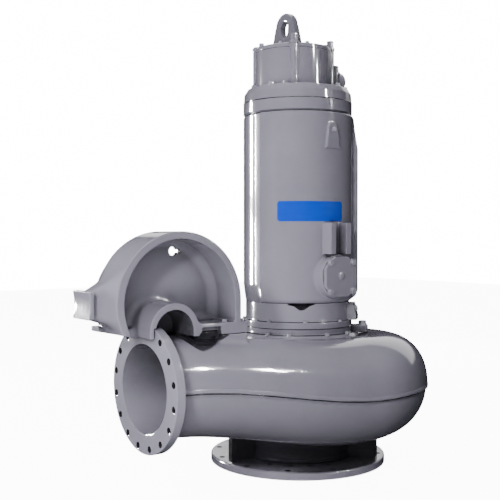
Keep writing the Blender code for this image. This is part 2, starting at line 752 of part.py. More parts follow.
def build():
    base()
    stand_legs()
    volute()
    discharge_flange()
    collar_and_rings()
    side_lug()
    drain_lug()
    stator_housing()
    skin = cutter("motor_clearance", motor_skin(0.5, 2.0))
    cable_duct(skin)
    inspection_cover(skin)
    coolant_ribs(skin)
    cast_boss(skin)
    name_label()
    top_end()
    terminal_box()
    lifting_handle()
    cable_gland()
    claw_rim()
    claw_web()
    claw_hub()
    claw_feet()
    claw_nose()
    claw_pad()
    impeller()


build()
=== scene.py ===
import math
import bpy
import bmesh
import numpy as np
from mathutils import Matrix, Vector


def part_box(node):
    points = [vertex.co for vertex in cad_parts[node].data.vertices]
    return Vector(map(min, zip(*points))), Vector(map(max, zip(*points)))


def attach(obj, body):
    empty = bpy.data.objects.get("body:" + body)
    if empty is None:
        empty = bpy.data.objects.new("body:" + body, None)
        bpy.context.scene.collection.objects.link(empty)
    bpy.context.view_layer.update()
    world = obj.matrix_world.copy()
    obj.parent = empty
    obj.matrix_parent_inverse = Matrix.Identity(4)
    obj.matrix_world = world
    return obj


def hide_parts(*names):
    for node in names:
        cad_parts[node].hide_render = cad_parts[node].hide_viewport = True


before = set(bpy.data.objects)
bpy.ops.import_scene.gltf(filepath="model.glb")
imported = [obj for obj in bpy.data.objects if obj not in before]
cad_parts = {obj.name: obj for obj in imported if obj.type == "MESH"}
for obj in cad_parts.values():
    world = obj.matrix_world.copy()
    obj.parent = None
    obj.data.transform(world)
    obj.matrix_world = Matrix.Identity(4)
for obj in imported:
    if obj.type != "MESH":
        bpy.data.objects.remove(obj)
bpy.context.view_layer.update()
bandLow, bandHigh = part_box("top_band")
shaft = Vector(((bandLow[0] + bandHigh[0]) / 2, (bandLow[1] + bandHigh[1]) / 2, 0))
print("shaft stands at", [round(v, 4) for v in shaft])


def onCircle(radius, degrees):
    turn = math.radians(degrees)
    return radius * math.cos(turn), radius * math.sin(turn)


class Value:  # a socket that can be written in sums
    def __init__(self, shop, socket):
        self.shop, self.socket = shop, socket

    def sum(self, operation, *others):
        return self.shop.node("ShaderNodeMath", {"operation": operation}, dict(enumerate(others)))

    def __add__(self, other):
        return self.sum("ADD", self, other)

    def __sub__(self, other):
        return self.sum("SUBTRACT", self, other)

    def __rsub__(self, other):
        return self.sum("SUBTRACT", other, self)

    def __mul__(self, other):
        return self.sum("MULTIPLY", self, other)

    __radd__ = __add__
    __rmul__ = __mul__

    def atLeast(self, low):
        return self.sum("MAXIMUM", self, low)

    def step(self, low, high):  # 0 below low, 1 above high, smooth between
        return self.shop.node("ShaderNodeMapRange", {"interpolation_type": "SMOOTHSTEP"},
                              {"Value": self, "From Min": low, "From Max": high})


class Shop:  # one node tree
    def __init__(self, owner):
        owner.use_nodes = True
        self.tree = owner.node_tree
        self.tree.nodes.clear()

    def node(self, kind, settings=None, sockets=None, out=0):
        made = self.tree.nodes.new(kind)
        for name, value in (settings or {}).items():
            setattr(made, name, value)
        for name, value in (sockets or {}).items():
            if isinstance(value, Value):
                self.tree.links.new(value.socket, made.inputs[name])
            else:
                made.inputs[name].default_value = value
        return Value(self, made.outputs[out]) if made.outputs else None

    def blend(self, share, first, second):  # between two colours
        first, second = [c if isinstance(c, Value) else (*c, 1) for c in (first, second)]
        return self.node("ShaderNodeMix", {"data_type": "RGBA"}, {0: share, 6: first, 7: second}, 2)

    def noise(self, place, scale, detail, rough):
        return self.node("ShaderNodeTexNoise", None, {"Vector": place, "Scale": scale,
                                                      "Detail": detail, "Roughness": rough})

    def vector(self, operation, first, second, out="Value"):
        return self.node("ShaderNodeVectorMath", {"operation": operation}, {0: first, 1: second}, out)

    def part(self, vector, axis):
        return self.node("ShaderNodeSeparateXYZ", None, {0: vector}, axis)

    def bump(self, height):
        return self.node("ShaderNodeBump", None, {"Strength": 1.0, "Distance": 1.0, "Height": height})

    def surface(self, sockets):
        shader = self.node("ShaderNodeBsdfPrincipled", None, sockets)
        self.node("ShaderNodeOutputMaterial", None, {"Surface": shader})


def newMaterial(name):
    material = bpy.data.materials.new(name)
    shop = Shop(material)
    return material, shop, shop.node("ShaderNodeTexCoord", out="Object")


def tinted(colour, by):
    return [v * by for v in colour]


epoxy = {
    "tone": (0.222, 0.214, 0.262),        # the grey-violet two-pack paint
    "pale": (0.246, 0.237, 0.288),
    "deep": (0.184, 0.177, 0.220),
    "edge": (0.310, 0.303, 0.340),        # rubbed a little lighter along its edges
    "dust": (0.330, 0.322, 0.340),
    "paintedShade": (0.012, 0.012, 0.015),       # painted shade: deep gaps and shadowed spots are painted this near black
    "cloud": (3.1, 4, 0.55), "mottle": (22, 3, 0.6), "fleck": (260, 1, 0.5),  # scale, detail, roughness
    "swell": (5.5, 1, 0.4), "grain": (34, 4, 0.62), "peel": (210, 1, 0.4),
    "swellDepth": 0.0016, "grainDepth": 0.00050, "peelDepth": 0.00006,
    "toneSteps": (0.25, 0.75), "edgeBend": (0.535, 0.60), "edgeWear": (0.35, 0.62), "creaseShadeBend": (0.40, 0.49),
    "dustFacing": (0.55, 1.0), "dustCloud": (0.30, 0.72), "fleckSteps": (0.66, 0.80),
    "toneShare": 0.55, "creaseShadeShare": 0.35, "creaseShadeTint": 0.72, "edgeShare": 0.45, "dustShare": 0.16,
    "fleckShare": 0.05, "gapShare": 0.85, "upFacing": (0.3, 0.8), "downFacing": (-0.2, 0.7),
    "downShare": 0.85, "clearShare": 0.9,
    "gloss": 0.065, "mottleGloss": 0.035, "dustGloss": 0.03, "edgeGloss": 0.08,
    "coat": 0.40, "coatGloss": 0.05, "specular": 0.5,
}


def paintFinish(name, cast=1.0, lift=1.0, gloss=epoxy["gloss"], gaps=(0.22, 0.72), reach=0.17, above=0,
                clear=None, bowlShadow=None):
    e = epoxy
    material, shop, place = newMaterial(name)
    cloud, mottle, fleck, swell, grain, peel = [
        shop.noise(place, *e[kind]) for kind in ("cloud", "mottle", "fleck", "swell", "grain", "peel")]
    bend = shop.node("ShaderNodeNewGeometry", out="Pointiness")
    facing = shop.part(shop.node("ShaderNodeNewGeometry", out="Normal"), "Z")
    edge = bend.step(*e["edgeBend"]) * mottle.step(*e["edgeWear"])
    # painted shade: concave creases, found by pointiness, are painted darker
    creaseShade = 1 - bend.step(*e["creaseShadeBend"])
    dust = facing.step(*e["dustFacing"]) * cloud.step(*e["dustCloud"])
    tone = shop.blend(cloud.step(*e["toneSteps"]), tinted(e["deep"], lift), tinted(e["pale"], lift))
    tone = shop.blend(e["toneShare"], tone, tinted(e["tone"], lift))
    tone = shop.blend(creaseShade * e["creaseShadeShare"], tone, tinted(e["deep"], e["creaseShadeTint"]))
    tone = shop.blend(edge * e["edgeShare"], tone, tinted(e["edge"], min(1, lift)))
    tone = shop.blend(dust * e["dustShare"] + fleck.step(*e["fleckSteps"]) * e["fleckShare"], tone,
                      tinted(e["dust"], min(1, lift)))
    # painted shade: what ambient occlusion finds in gaps is painted toward near black
    openness = shop.node("ShaderNodeAmbientOcclusion", {"samples": 6}, {"Distance": reach}, "AO")
    shade = (1 - openness.step(*gaps)) * e["gapShare"]
    if above > 0:  # the painted shade falls only on what faces up
        shade = shade * facing.step(*e["upFacing"])
    if above < 0:  # the painted shade stays mostly on what faces down, as if light fell from above
        shade = shade * (1 - facing.step(*e["downFacing"]) * e["downShare"])
    if clear:  # the painted gap shade is lifted off a ring seen along Y that stands clear of the gaps around it
        away = shop.vector("DISTANCE", shop.vector("MULTIPLY", place, (1, 0, 1), "Vector"),
                           (clear["x"], 0, clear["z"]))
        shade = shade * (1 - away.step(*clear["from"]) * (1 - away.step(*clear["to"])) * e["clearShare"])
    tone = shop.blend(shade, tone, e["paintedShade"])
    rough = gloss + mottle * e["mottleGloss"] + dust * e["dustGloss"] + edge * e["edgeGloss"]
    coat = e["coat"]
    if bowlShadow:  # a painted shadow: the black shade that the claw's foot casts on the nozzle, without coat there
        x, y, z = [shop.part(place, axis) for axis in "XYZ"]
        right, left = (x - bowlShadow["x"]).atLeast(0.0), (bowlShadow["x"] - x).atLeast(0.0)
        brim = right * (right * bowlShadow["right"][1] + bowlShadow["right"][0]) + left * left * bowlShadow["left"]
        hollow = ((z - brim).step(bowlShadow["z"] - bowlShadow["blur"], bowlShadow["z"] + bowlShadow["blur"])
                  * (0 - y).step(*bowlShadow["front"]))
        tone = shop.blend(hollow * bowlShadow["share"], tone, e["paintedShade"])
        coat = (1 - hollow) * coat
    height = swell * e["swellDepth"] + grain * (e["grainDepth"] * cast) + peel * e["peelDepth"]
    shop.surface({"Base Color": tone, "Roughness": rough, "Normal": shop.bump(height), "Coat Weight": coat,
                  "Coat Roughness": e["coatGloss"], "Specular IOR Level": e["specular"]})
    return material


label = {"tone": (0.0, 0.050, 0.500), "worn": (0.001, 0.060, 0.520), "cloud": (9, 3, 0.5), "grain": (120, 2, 0.6),
         "cloudSteps": (0.35, 0.75), "grainSteps": (0.62, 0.8), "cloudShare": 0.5, "grainShare": 0.15,
         "gloss": 0.34, "grainGloss": 0.08, "cloudDepth": 0.0003, "grainDepth": 0.00005, "specular": 0.12}
iron = {"tone": (0.085, 0.084, 0.090), "worn": (0.120, 0.105, 0.092), "cloud": (12, 4, 0.6), "grain": (90, 3, 0.6),
        "cloudSteps": (0.3, 0.8), "grainSteps": (0.3, 0.8), "cloudShare": 1.0, "grainShare": 0.0,
        "gloss": 0.46, "grainGloss": 0.15, "cloudDepth": 0.0, "grainDepth": 0.0005, "specular": 0.5}


def plainFinish(name, look):
    material, shop, place = newMaterial(name)
    cloud, grain = [shop.noise(place, *look[kind]) for kind in ("cloud", "grain")]
    wear = cloud.step(*look["cloudSteps"]) * look["cloudShare"] + grain.step(*look["grainSteps"]) * look["grainShare"]
    shop.surface({"Base Color": shop.blend(wear, look["tone"], look["worn"]),
                  "Roughness": look["gloss"] + grain * look["grainGloss"],
                  "Normal": shop.bump(grain * look["grainDepth"] + cloud * look["cloudDepth"]),
                  "Specular IOR Level": look["specular"]})
    return material


housingPaint = paintFinish("housingPaint", cast=0.30, gloss=0.060)
castPaint = paintFinish("castPaint", cast=0.8, gaps=(0.28, 0.78))
# painted shadow: a black bowl on the nozzle under the claw's foot
casingPaint = paintFinish("casingPaint", cast=0.8, gaps=(0.28, 0.78),
                          bowlShadow={"x": -0.925, "z": 0.665, "right": (0.12, 1.5), "left": 14,
                                "front": (0.40, 0.43), "blur": 0.004, "share": 0.97})
# a darker copy of the paint with stronger painted gap shade in the dish, lifted off the hub
clawPaint = paintFinish("clawPaint", cast=0.8, lift=0.94, gaps=(0.34, 0.80),
                        clear={"x": -1.028, "z": 0.742, "from": (0.088, 0.098), "to": (0.116, 0.150)})
# painted shade: the bore goes darker deeper in and towards its top
boreShadePaint = paintFinish("boreShadePaint", cast=0.8, gaps=(0.07, 0.46), reach=1.2, above=-1)
handlePaint = paintFinish("handlePaint", cast=0.5, lift=0.72)
fittingPaint = paintFinish("fittingPaint", cast=0.25)
# painted light: a lighter copy of the paint makes the bolt heads stand out, with almost no painted gap shade
boltPaint = paintFinish("boltPaint", cast=0.15, lift=1.16, gloss=0.14, gaps=(0.0, 0.3))
# painted shade: the base flange's top is painted dark where the volute above shades it
footShadePaint = paintFinish("footShadePaint", cast=0.6, gaps=(0.70, 0.985), above=1)
# near black: painted shade on the neck, legs and hole walls under the pump, and the dark joint lines
shadeAndJointPaint = paintFinish("shadeAndJointPaint", cast=1.0, lift=0.10, gaps=(0.70, 1.0))
notchShadePaint = paintFinish("notchShadePaint", cast=0.3, lift=0.42, gaps=(0.30, 0.80))
blueLabel = plainFinish("blueLabel", label)
hubIron = plainFinish("hubIron", iron)
print("finishes mixed")


# placing pieces, and the shapes that many of them share

def meshOf(maker, name):
    bmesh.ops.recalc_face_normals(maker, faces=maker.faces)
    mesh = bpy.data.meshes.new(name)
    maker.to_mesh(mesh)
    maker.free()
    return mesh


def newObject(name, data):
    item = bpy.data.objects.new(name, data)
    bpy.context.scene.collection.objects.link(item)
    return item


def place(name, mesh, finish, replaces=(), slot="grey_paint", smooth=True, weigh=True):
    if isinstance(mesh, bmesh.types.BMesh):
        mesh = meshOf(mesh, name)
    mesh.materials.append(finish)
    item = newObject(name, mesh)
    item.location = shaft
    if smooth:
        mesh.shade_smooth()
    if weigh:
        step = item.modifiers.new("weigh", "WEIGHTED_NORMAL")
        step.weight = 80
    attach(item, "root")
    if replaces:
        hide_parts(*replaces)
    return item


def rounded(corners, steps=4, closed=False):  # (across, up, corner radius) -> points with arcs
    points = []
    count = len(corners)
    for i, (across, up, radius) in enumerate(corners):
        here = Vector((across, up))
        if radius == 0 or (not closed and i in (0, count - 1)):
            points.append(here)
            continue
        back = Vector(corners[i - 1][:2]) - here
        on = Vector(corners[(i + 1) % count][:2]) - here
        turn = back.angle(on)
        reach = min(radius / math.tan(turn / 2), back.length * 0.49, on.length * 0.49)
        radius = reach * math.tan(turn / 2)
        middle = here + (back.normalized() + on.normalized()).normalized() * (radius / math.sin(turn / 2))
        first = here + back.normalized() * reach - middle
        last = here + on.normalized() * reach - middle
        sweep = first.angle_signed(last)
        for k in range(steps + 1):
            arm = first.copy()
            arm.rotate(Matrix.Rotation(-sweep * k / steps, 2))
            points.append(middle + arm)
    return [(p[0], p[1]) for p in points]


def loft(maker, rings, ends=True, loop=False):
    rows = [[maker.verts.new(point) for point in ring] for ring in rings]
    pairs = list(zip(rows, rows[1:])) + ([(rows[-1], rows[0])] if loop else [])
    count = len(rings[0])
    for row, following in pairs:
        for i in range(count):
            j = (i + 1) % count
            maker.faces.new((row[i], row[j], following[j], following[i]))
    if ends and not loop:
        maker.faces.new(rows[0][::-1])
        maker.faces.new(rows[-1])
    return rows


def turned(maker, profile, steps, centre=(0, 0)):  # profile of (radius, height)
    ring = [(2 * math.pi * k / steps) for k in range(steps)]
    solid = profile[0][0] < 1e-6
    body = profile[1:-1] if solid else profile
    rings = [[(centre[0] + r * math.cos(a), centre[1] + r * math.sin(a), z) for a in ring]
             for r, z in body]
    rows = loft(maker, rings, ends=False, loop=not solid)
    if solid:
        for row, (_, z) in ((rows[0], profile[0]), (rows[-1], profile[-1])):
            tip = maker.verts.new((centre[0], centre[1], z))
            for i in range(steps):
                maker.faces.new((row[i], row[(i + 1) % steps], tip))
    return maker


def disc(*corners):  # closed to its axis above and below
    return [(0, corners[0][1], 0), *corners, (0, corners[-1][1], 0)]


def lathe(name, corners, finish, replaces=(), slot="grey_paint", steps=128, centre=(0, 0), matrix=None):
    closed = corners[0][0] > 0
    maker = turned(bmesh.new(), rounded(corners, closed=closed), steps, centre)
    if matrix:
        maker.transform(matrix)
    return place(name, maker, finish, replaces, slot)


def slabShape(outline, low, high, bevel, matrix, steps=3):
    maker = bmesh.new()
    loft(maker, [[(u, v, level) for u, v in outline] for level in (low, high)])
    bmesh.ops.recalc_face_normals(maker, faces=maker.faces)
    rims = [e for e in maker.edges if abs(e.verts[0].co.z - e.verts[1].co.z) < 1e-6]
    bmesh.ops.bevel(maker, geom=rims, offset=bevel, segments=steps, profile=0.5, affect="EDGES",
                    clamp_overlap=True)
    maker.transform(matrix)
    maker.normal_update()
    return maker


def earOutline(root, reach, half, corner):
    return rounded([(root, -half, 0), (reach, -half, corner), (reach, half, corner), (root, half, 0)], 6, True)


def carve(item, maker):  # cuts with a shape and keeps the result
    tool = newObject("tool", meshOf(maker, "tool"))
    tool.location = item.location
    step = item.modifiers.new("carve", "BOOLEAN")
    step.operation, step.solver, step.object = "DIFFERENCE", "EXACT", tool
    item.modifiers.move(len(item.modifiers) - 1, 0)
    for other in item.modifiers[1:]:
        other.show_viewport = False
    made = bpy.data.meshes.new_from_object(item.evaluated_get(bpy.context.evaluated_depsgraph_get()))
    item.modifiers.remove(step)
    for other in item.modifiers:
        other.show_viewport = True
    old, item.data = item.data, made
    bpy.data.meshes.remove(old)
    bpy.data.objects.remove(tool)


def darken(item, inHole, finish=shadeAndJointPaint):  # bores lie in shadow
    item.data.materials.append(finish)
    for face in item.data.polygons:
        if inHole(face.center, face.normal):
            face.material_index = len(item.data.materials) - 1


def holeTool(maker, places, radius, thick, lip=0.0015):  # holes through a plate that lies on zero
    wide, over = radius + lip, 0.01
    profile = [(0, -over), (wide, -over), (wide, 0), (radius, lip), (radius, thick - lip), (wide, thick),
               (wide, thick + over), (0, thick + over)]
    for spot in places:
        turned(maker, profile, 20, spot)
    return maker


def ringOfPlaces(radius, count, first, centre=(0, 0)):
    spots = [onCircle(radius, first + 360 * k / count) for k in range(count)]
    return [(centre[0] + x, centre[1] + y) for x, y in spots]


def standing(spot, aim=(0, 0, 1), spin=0.0):  # matrix that puts +Z along aim at a spot
    turn = Vector(aim).to_track_quat("Z", "Y").to_matrix().to_4x4()
    return Matrix.Translation(Vector(spot)) @ turn @ Matrix.Rotation(math.radians(spin), 4, "Z")


bolts = {  # across flats, head height, washer radius, washer thickness
    "coverBolts": (0.024, 0.010, 0.0165, 0.003), "sideLugBolt": (0.034, 0.016, 0.024, 0.0035),
    "drainScrew": (0.026, 0.008, 0.019, 0.005), "collarBolts": (0.018, 0.010, 0.0115, 0.002),
    "bearingBolts": (0.018, 0.010, 0.0, 0.0), "lidBolts": (0.018, 0.009, 0.0125, 0.002),
    "lidStud": (0.024, 0.018, 0.017, 0.004), "topBolts": (0.022, 0.012, 0.015, 0.0025),
    "glandBolts": (0.013, 0.007, 0.0085, 0.0015), "clawBolts": (0.017, 0.009, 0.0115, 0.002),
    "earthScrew": (0.019, 0.008, 0.013, 0.003),
}


def addBolt(maker, matrix, across, high, washer, thick):
    part = bmesh.new()
    if washer:
        turned(part, rounded(disc((washer, -0.002, 0), (washer, thick, 0.001)), 2), 24)
    reach = across / math.sqrt(3)
    levels = ((reach, thick - 0.001), (reach, thick + high * 0.82), (reach * 0.86, thick + high))
    loft(part, [[(*onCircle(r, 60 * k), z) for k in range(6)] for r, z in levels])
    part.transform(matrix)
    lump = bpy.data.meshes.new("lump")
    part.to_mesh(lump)
    part.free()
    maker.from_mesh(lump)
    bpy.data.meshes.remove(lump)


def boltGroup(name, matrices, slot="grey_paint"):
    maker = bmesh.new()
    for k, matrix in enumerate(matrices):
        addBolt(maker, matrix @ Matrix.Rotation(math.radians(17 * k), 4, "Z"), *bolts[name])
    place(name, maker, boltPaint, slot=slot, smooth=False, weigh=False)


# cast forms are meshed from a distance field

def meet(a, b, r):
    return np.minimum(-r, np.maximum(a, b)) + np.hypot(np.maximum(r + a, 0), np.maximum(r + b, 0))


def unite(a, b, r):
    return -meet(-a, -b, r)


def cut(a, b, r):
    return meet(a, -b, r)


def slab(v, low, high):
    return np.abs(v - (low + high) / 2) - (high - low) / 2


def mix(first, last, share):
    return first + (last - first) * share


mesher = {"layers": 24, "probe": 0.08, "leanProbe": 0.15, "passes": 4, "pull": 0.9, "stray": 0.7, "flat": 0.05}


def castMesh(name, field, low, high, cell):
    layers = mesher["layers"]
    axes = [np.arange(low[i], high[i] + cell, cell) for i in range(3)]
    grid = np.empty([len(a) for a in axes], np.float32)
    for start in range(0, len(axes[0]), layers):
        part = axes[0][start:start + layers]
        grid[start:start + layers] = field(part[:, None, None], axes[1][None, :, None], axes[2][None, None, :])
    inside = grid < 0
    total = np.zeros([n - 1 for n in grid.shape], np.int8)
    shape = total.shape
    corners = list(np.ndindex(2, 2, 2))
    for i, j, k in corners:
        total += inside[i:i + shape[0], j:j + shape[1], k:k + shape[2]]
    cells = np.argwhere((total > 0) & (total < 8))
    values = {corner: grid[tuple((cells + corner).T)] for corner in corners}
    where = np.zeros((len(cells), 3))
    count = np.zeros(len(cells))
    units = np.eye(3, dtype=int)
    for a in corners:
        for unit in [unit for unit, taken in zip(units, a) if not taken]:
            b = tuple(unit + a)
            crosses = (values[a] < 0) != (values[b] < 0)
            share = values[a] / np.where(crosses, values[a] - values[b], 1)
            where += (share[:, None] * unit + a) * crosses[:, None]
            count += crosses
    origin = np.array([a[0] for a in axes])
    points = origin + (cells + where / count[:, None]) * cell
    home = points.copy()

    def slope(p, step=cell * mesher["probe"]):
        return np.stack([(field(*(p + shift).T) - field(*(p - shift).T)) / (2 * step) for shift in units * step], 1)

    stray = cell * mesher["stray"]
    for _ in range(mesher["passes"]):
        lean = slope(points)
        size = np.maximum((lean ** 2).sum(1), mesher["flat"])
        points -= (np.clip(field(*points.T), -cell, cell) / size)[:, None] * lean * mesher["pull"]
        points = home + np.clip(points - home, -stray, stray)
    lean = slope(points, cell * mesher["leanProbe"])
    lean /= np.maximum(np.linalg.norm(lean, axis=1), 1e-9)[:, None]
    number = np.full(shape, -1, np.int64)
    number[tuple(cells.T)] = np.arange(len(cells))
    quads = []
    for axis in range(3):
        u, v = np.delete(units, axis, 0)
        first, last = [inside[tuple(slice(*ends) if i == axis else slice(1, -1) for i in range(3))]
                       for ends in ((0, -1), (1, None))]
        for change, flip in ((first & ~last, axis == 1), (~first & last, axis != 1)):
            spots = np.argwhere(change) + u + v
            quad = np.stack([number[tuple((spots - back).T)] for back in (u + v, v, 0 * u, u)], 1)
            quads.append(quad[:, ::-1] if flip else quad)
    quads = np.concatenate(quads)
    quads = quads[(quads >= 0).all(1)]
    mesh = bpy.data.meshes.new(name)
    mesh.from_pydata(points.tolist(), [], quads.tolist())
    mesh.validate()
    mesh.shade_smooth()
    mesh.normals_split_custom_set_from_vertices(lean.tolist())
    print(name, len(quads) * 2, "triangles")
    return mesh


casing = {
    "wall": 0.025, "seam": 0.390, "eye": 0.300, "inlet": 0.250, "floor": 0.200,
    "seat": 0.600, "fillet": 0.026, "eyeFillet": 0.024, "lugFillet": 0.016, "underFillet": 0.006,
    "tongue": math.radians(-135), "turn": math.radians(315), "back": math.radians(-25), "inner": 0.180,
    "reach": (0.470, 0.650), "rise": (0.250, 0.200), "drop": (0.235, 0.200), "step": 0.008,
    "line": 0.442, "height": 0.519, "nozzle": 0.200, "length": 1.0797,
    "lug": ((-0.813, -0.532, 0.570), (-0.685, -0.348, 0.7186)),
    "saddle": ((-1.068, -0.430, 0.600), (-0.800, -0.350, 0.7188)),
    "shelf": ((-0.914, -0.504, 0.704), (-0.800, -0.350, 0.7347)), "boreFrom": -0.35, "boreDeep": -0.012,
    "cell": 0.0102,
}


def sectionField(u, v, half, rise, drop, lip, power):  # first-order distance to the oval wall
    low = v < 0
    ease = np.clip(-v / 0.018, 0, 1)
    a = half - lip * ease * ease * (3 - 2 * ease)
    b = np.where(low, drop, rise)
    n = np.where(low, 2.0, power)
    x = np.maximum(np.abs(u) / a, 1e-6)
    y = np.maximum(np.abs(v) / b, 1e-6)
    size = (x ** n + y ** n) ** (1 / n)
    steep = size ** (1 - n) * np.hypot(x ** (n - 1) / a, y ** (n - 1) / b)
    return (size - 1) / np.maximum(steep, 1.5)


def reachAt(share):
    c = casing
    return mix(c["reach"][0], c["reach"][1],
               1 - np.sign(1 - share) * np.abs(1 - share) ** 1.5)


def spiralField(r, share, z):
    c = casing
    half = (reachAt(share) - c["inner"]) / 2
    full = (c["reach"][1] - c["inner"]) / 2
    return sectionField(r - c["inner"] - half, z - c["seam"], half, c["rise"][0] * half / full,
                        c["drop"][0] * half / full, c["step"], 2.3)


def nozzleAt(x):  # seam line's place and half width along the nozzle
    c = casing
    share = np.clip(-x / c["length"], 0, 1)
    ease = share * share * (3 - 2 * share)
    half = (c["reach"][1] - c["inner"]) / 2
    return (share, ease, mix(c["inner"] + half, c["line"], ease), mix(c["seam"], c["height"], ease),
            mix(half, c["nozzle"], ease))


def nozzleField(x, y, z, lip=1.0):
    c = casing
    share, ease, line, up, half = nozzleAt(x)
    return sectionField(-y - line, z - up, half, mix(c["rise"][0], c["nozzle"], ease),
                        mix(c["drop"][0], c["nozzle"], ease), mix(c["step"], c["step"] / 2, share) * lip,
                        mix(2.3, 2.0, share))


def boxField(x, y, z, low, high, r):
    a, b, c = [slab(v, *ends) + r for v, *ends in zip((x, y, z), low, high)]
    out = np.sqrt(np.maximum(a, 0) ** 2 + np.maximum(b, 0) ** 2 + np.maximum(c, 0) ** 2)
    return out + np.minimum(np.maximum(a, np.maximum(b, c)), 0) - r


def casingField(x, y, z):
    c = casing
    x, y, z = np.broadcast_arrays(x, y, z)
    r = np.hypot(x, y)
    turn = np.mod(c["tongue"] - np.arctan2(y, x), 2 * math.pi)
    front = (x < 0) & (y < 0)
    turn = np.where(front & (turn > math.pi), turn - 2 * math.pi, turn)
    spiral = spiralField(r, np.maximum(turn, c["back"]) / c["turn"], z)
    spiral = np.where(front, np.maximum(spiral, (c["back"] - turn) * r), spiral)
    nozzle = nozzleField(x, y, z)
    run = np.where(front, unite(nozzle, spiral, c["fillet"]), spiral)
    smooth = nozzleField(x, y, z, 0.0)
    space = np.where(front, np.minimum(smooth, spiral), spiral) + c["wall"]
    eye = meet(r - c["eye"], slab(z, c["floor"], c["seat"] + 0.01), 0.004)
    body = unite(run, eye, c["eyeFillet"])
    body = np.maximum(body, -c["length"] - x)
    body = unite(body, boxField(x, y, z, *c["lug"], 0.005), c["lugFillet"])
    under = np.minimum(boxField(x, y, z, *c["saddle"], 0.004), boxField(x, y, z, *c["shelf"], 0.004))
    body = unite(body, under, c["underFillet"])
    body = cut(body, np.minimum(space, r - c["inlet"]), 0.002)
    return np.maximum(body, c["floor"] - 0.05 - z)


mesh = castMesh("voluteCasting", casingField, (-1.10, -0.68, 0.13), (0.65, 0.61, 0.74), casing["cell"])
place("voluteCasting", mesh, casingPaint,
      ("volute_front", "volute_right", "volute_rear", "volute_left", "discharge_nozzle", "claw_seat"),
      weigh=False)
# the bore's faces take the bore's painted shade
mesh.materials.append(boreShadePaint)
middles = np.empty(len(mesh.polygons) * 3)
mesh.polygons.foreach_get("center", middles)
middles = middles.reshape(-1, 3)
inBore = (middles[:, 0] < casing["boreFrom"]) & (nozzleField(*middles.T) < casing["boreDeep"])
mesh.polygons.foreach_set("material_index", inBore.astype(np.int32))

seam = {  # sections hold (out from the wall, up from the parting line)
    "bead": ((-0.016, 0.021), (-0.001, 0.017), (0.0006, 0.0136), (0.0014, 0.0102), (0.0023, 0.0068),
             (0.0026, 0.004), (0.0026, 0.0008), (0.0011, -0.0006), (-0.016, -0.0004)),
    "groove": ((-0.016, 0), (0.0010, 0), (0.0010, -0.0055), (-0.016, -0.0055)),
    "first": 11, "steps": 180, "nozzleSteps": 120, "innerSteps": 60, "innerStart": -0.47, "end": 0.985,
}


def seamRuns():  # (spot on the wall, outward direction) along the outside and along the nozzle's inside
    c, s = casing, seam
    end = -c["length"] * s["end"]

    def beside(x, side):
        *_, line, up, half = nozzleAt(x)
        return (x, float(side * half - line), float(up)), (0.0, float(side))

    outer = []
    for k in range(s["first"], s["steps"] + 1):
        share = k / s["steps"]
        angle = c["tongue"] - c["turn"] * share
        reach = float(reachAt(share))
        out = (math.cos(angle), math.sin(angle))
        outer.append(((reach * out[0], reach * out[1], c["seam"]), out))
    outer += [beside(end * k / s["nozzleSteps"], -1) for k in range(1, s["nozzleSteps"] + 1)]
    inner = [beside(mix(s["innerStart"], end, k / s["innerSteps"]), 1) for k in range(s["innerSteps"] + 1)]
    return outer, inner


for name, part, finish in (("seamBead", "bead", castPaint), ("seamGroove", "groove", shadeAndJointPaint)):
    maker = bmesh.new()
    for run in seamRuns():
        loft(maker, [[(spot[0] + out[0] * a, spot[1] + out[1] * a, spot[2] + up) for a, up in seam[part]]
                     for spot, out in run])
    place(name, maker, finish)
print("casing cast")

motor = {
    "radius": 0.275, "high": 1.700, "base": 0.7903, "skirt": ([0.790, 0.875], [0.2575, 0.275]),
    "smooth": (math.radians(-205), math.radians(36), math.radians(9)),
    "ductSide": math.radians(-26), "ductSpread": math.radians(20), "ductEnds": (0.811, 1.685),
    "ductOut": ([0.811, 0.841, 1.54, 1.68], [0.288, 0.300, 0.300, 0.276]),
    "boss": (0.918, 0.105, -0.3117), "rib": (0.047, 0.016, 1.024, 1.172, -0.329), "core": -0.15,
    "bell": ([1.525, 1.565, 1.618], [0.042, 0.036, 0.030]), "bellFront": -0.286, "bellSide": -0.010, "screwUp": 1.614,
    "cell": 0.0055,
}


def turnFrom(side, x, y):  # angle around the shaft
    return np.mod(np.arctan2(y, x) - side + math.pi, 2 * math.pi) - math.pi


def motorField(x, y, z):
    m = motor
    x, y, z = np.broadcast_arrays(x, y, z)
    r = np.hypot(x, y)
    tube = meet(r - m["radius"], z - m["high"], 0.007)
    side, spread, fade = m["smooth"]
    soft = np.clip((spread - np.abs(turnFrom(side, x, y))) / fade, 0, 1)
    smooth = meet(tube, (r - np.interp(z, *m["skirt"])) * 0.98, 0.020)
    tube = mix(meet(tube, m["base"] - z, 0.026), np.maximum(smooth, m["base"] - z), soft)
    angle = turnFrom(m["ductSide"], x, y)
    duct = meet(r - np.interp(z, *m["ductOut"]), (np.abs(angle) - m["ductSpread"]) * np.minimum(r, 0.3), 0.014)
    duct = meet(duct, slab(z, *m["ductEnds"]), 0.006)
    body = unite(tube, np.maximum(duct, 0.18 - r), 0.016)
    up, size, front = m["boss"]
    boss = meet(np.hypot(x, z - up) - size, front - y, 0.006)
    body = unite(body, np.maximum(boss, y - m["core"]), 0.007)
    side, half, low, high, out = m["rib"]
    rib = boxField(np.abs(x), y, z, (side - half, out, low), (side + half, m["core"], high), 0.003)
    body = unite(body, rib, 0.004)
    (low, _, crown), (_, _, size) = m["bell"]
    side = x - m["bellSide"]
    bell = np.where(z > crown, np.hypot(side, z - crown) - size, np.abs(side) - np.interp(z, *m["bell"]))
    bell = meet(meet(bell, low - z, 0.003), m["bellFront"] - y, 0.003)
    return unite(body, np.maximum(bell, y - m["core"]), 0.005)


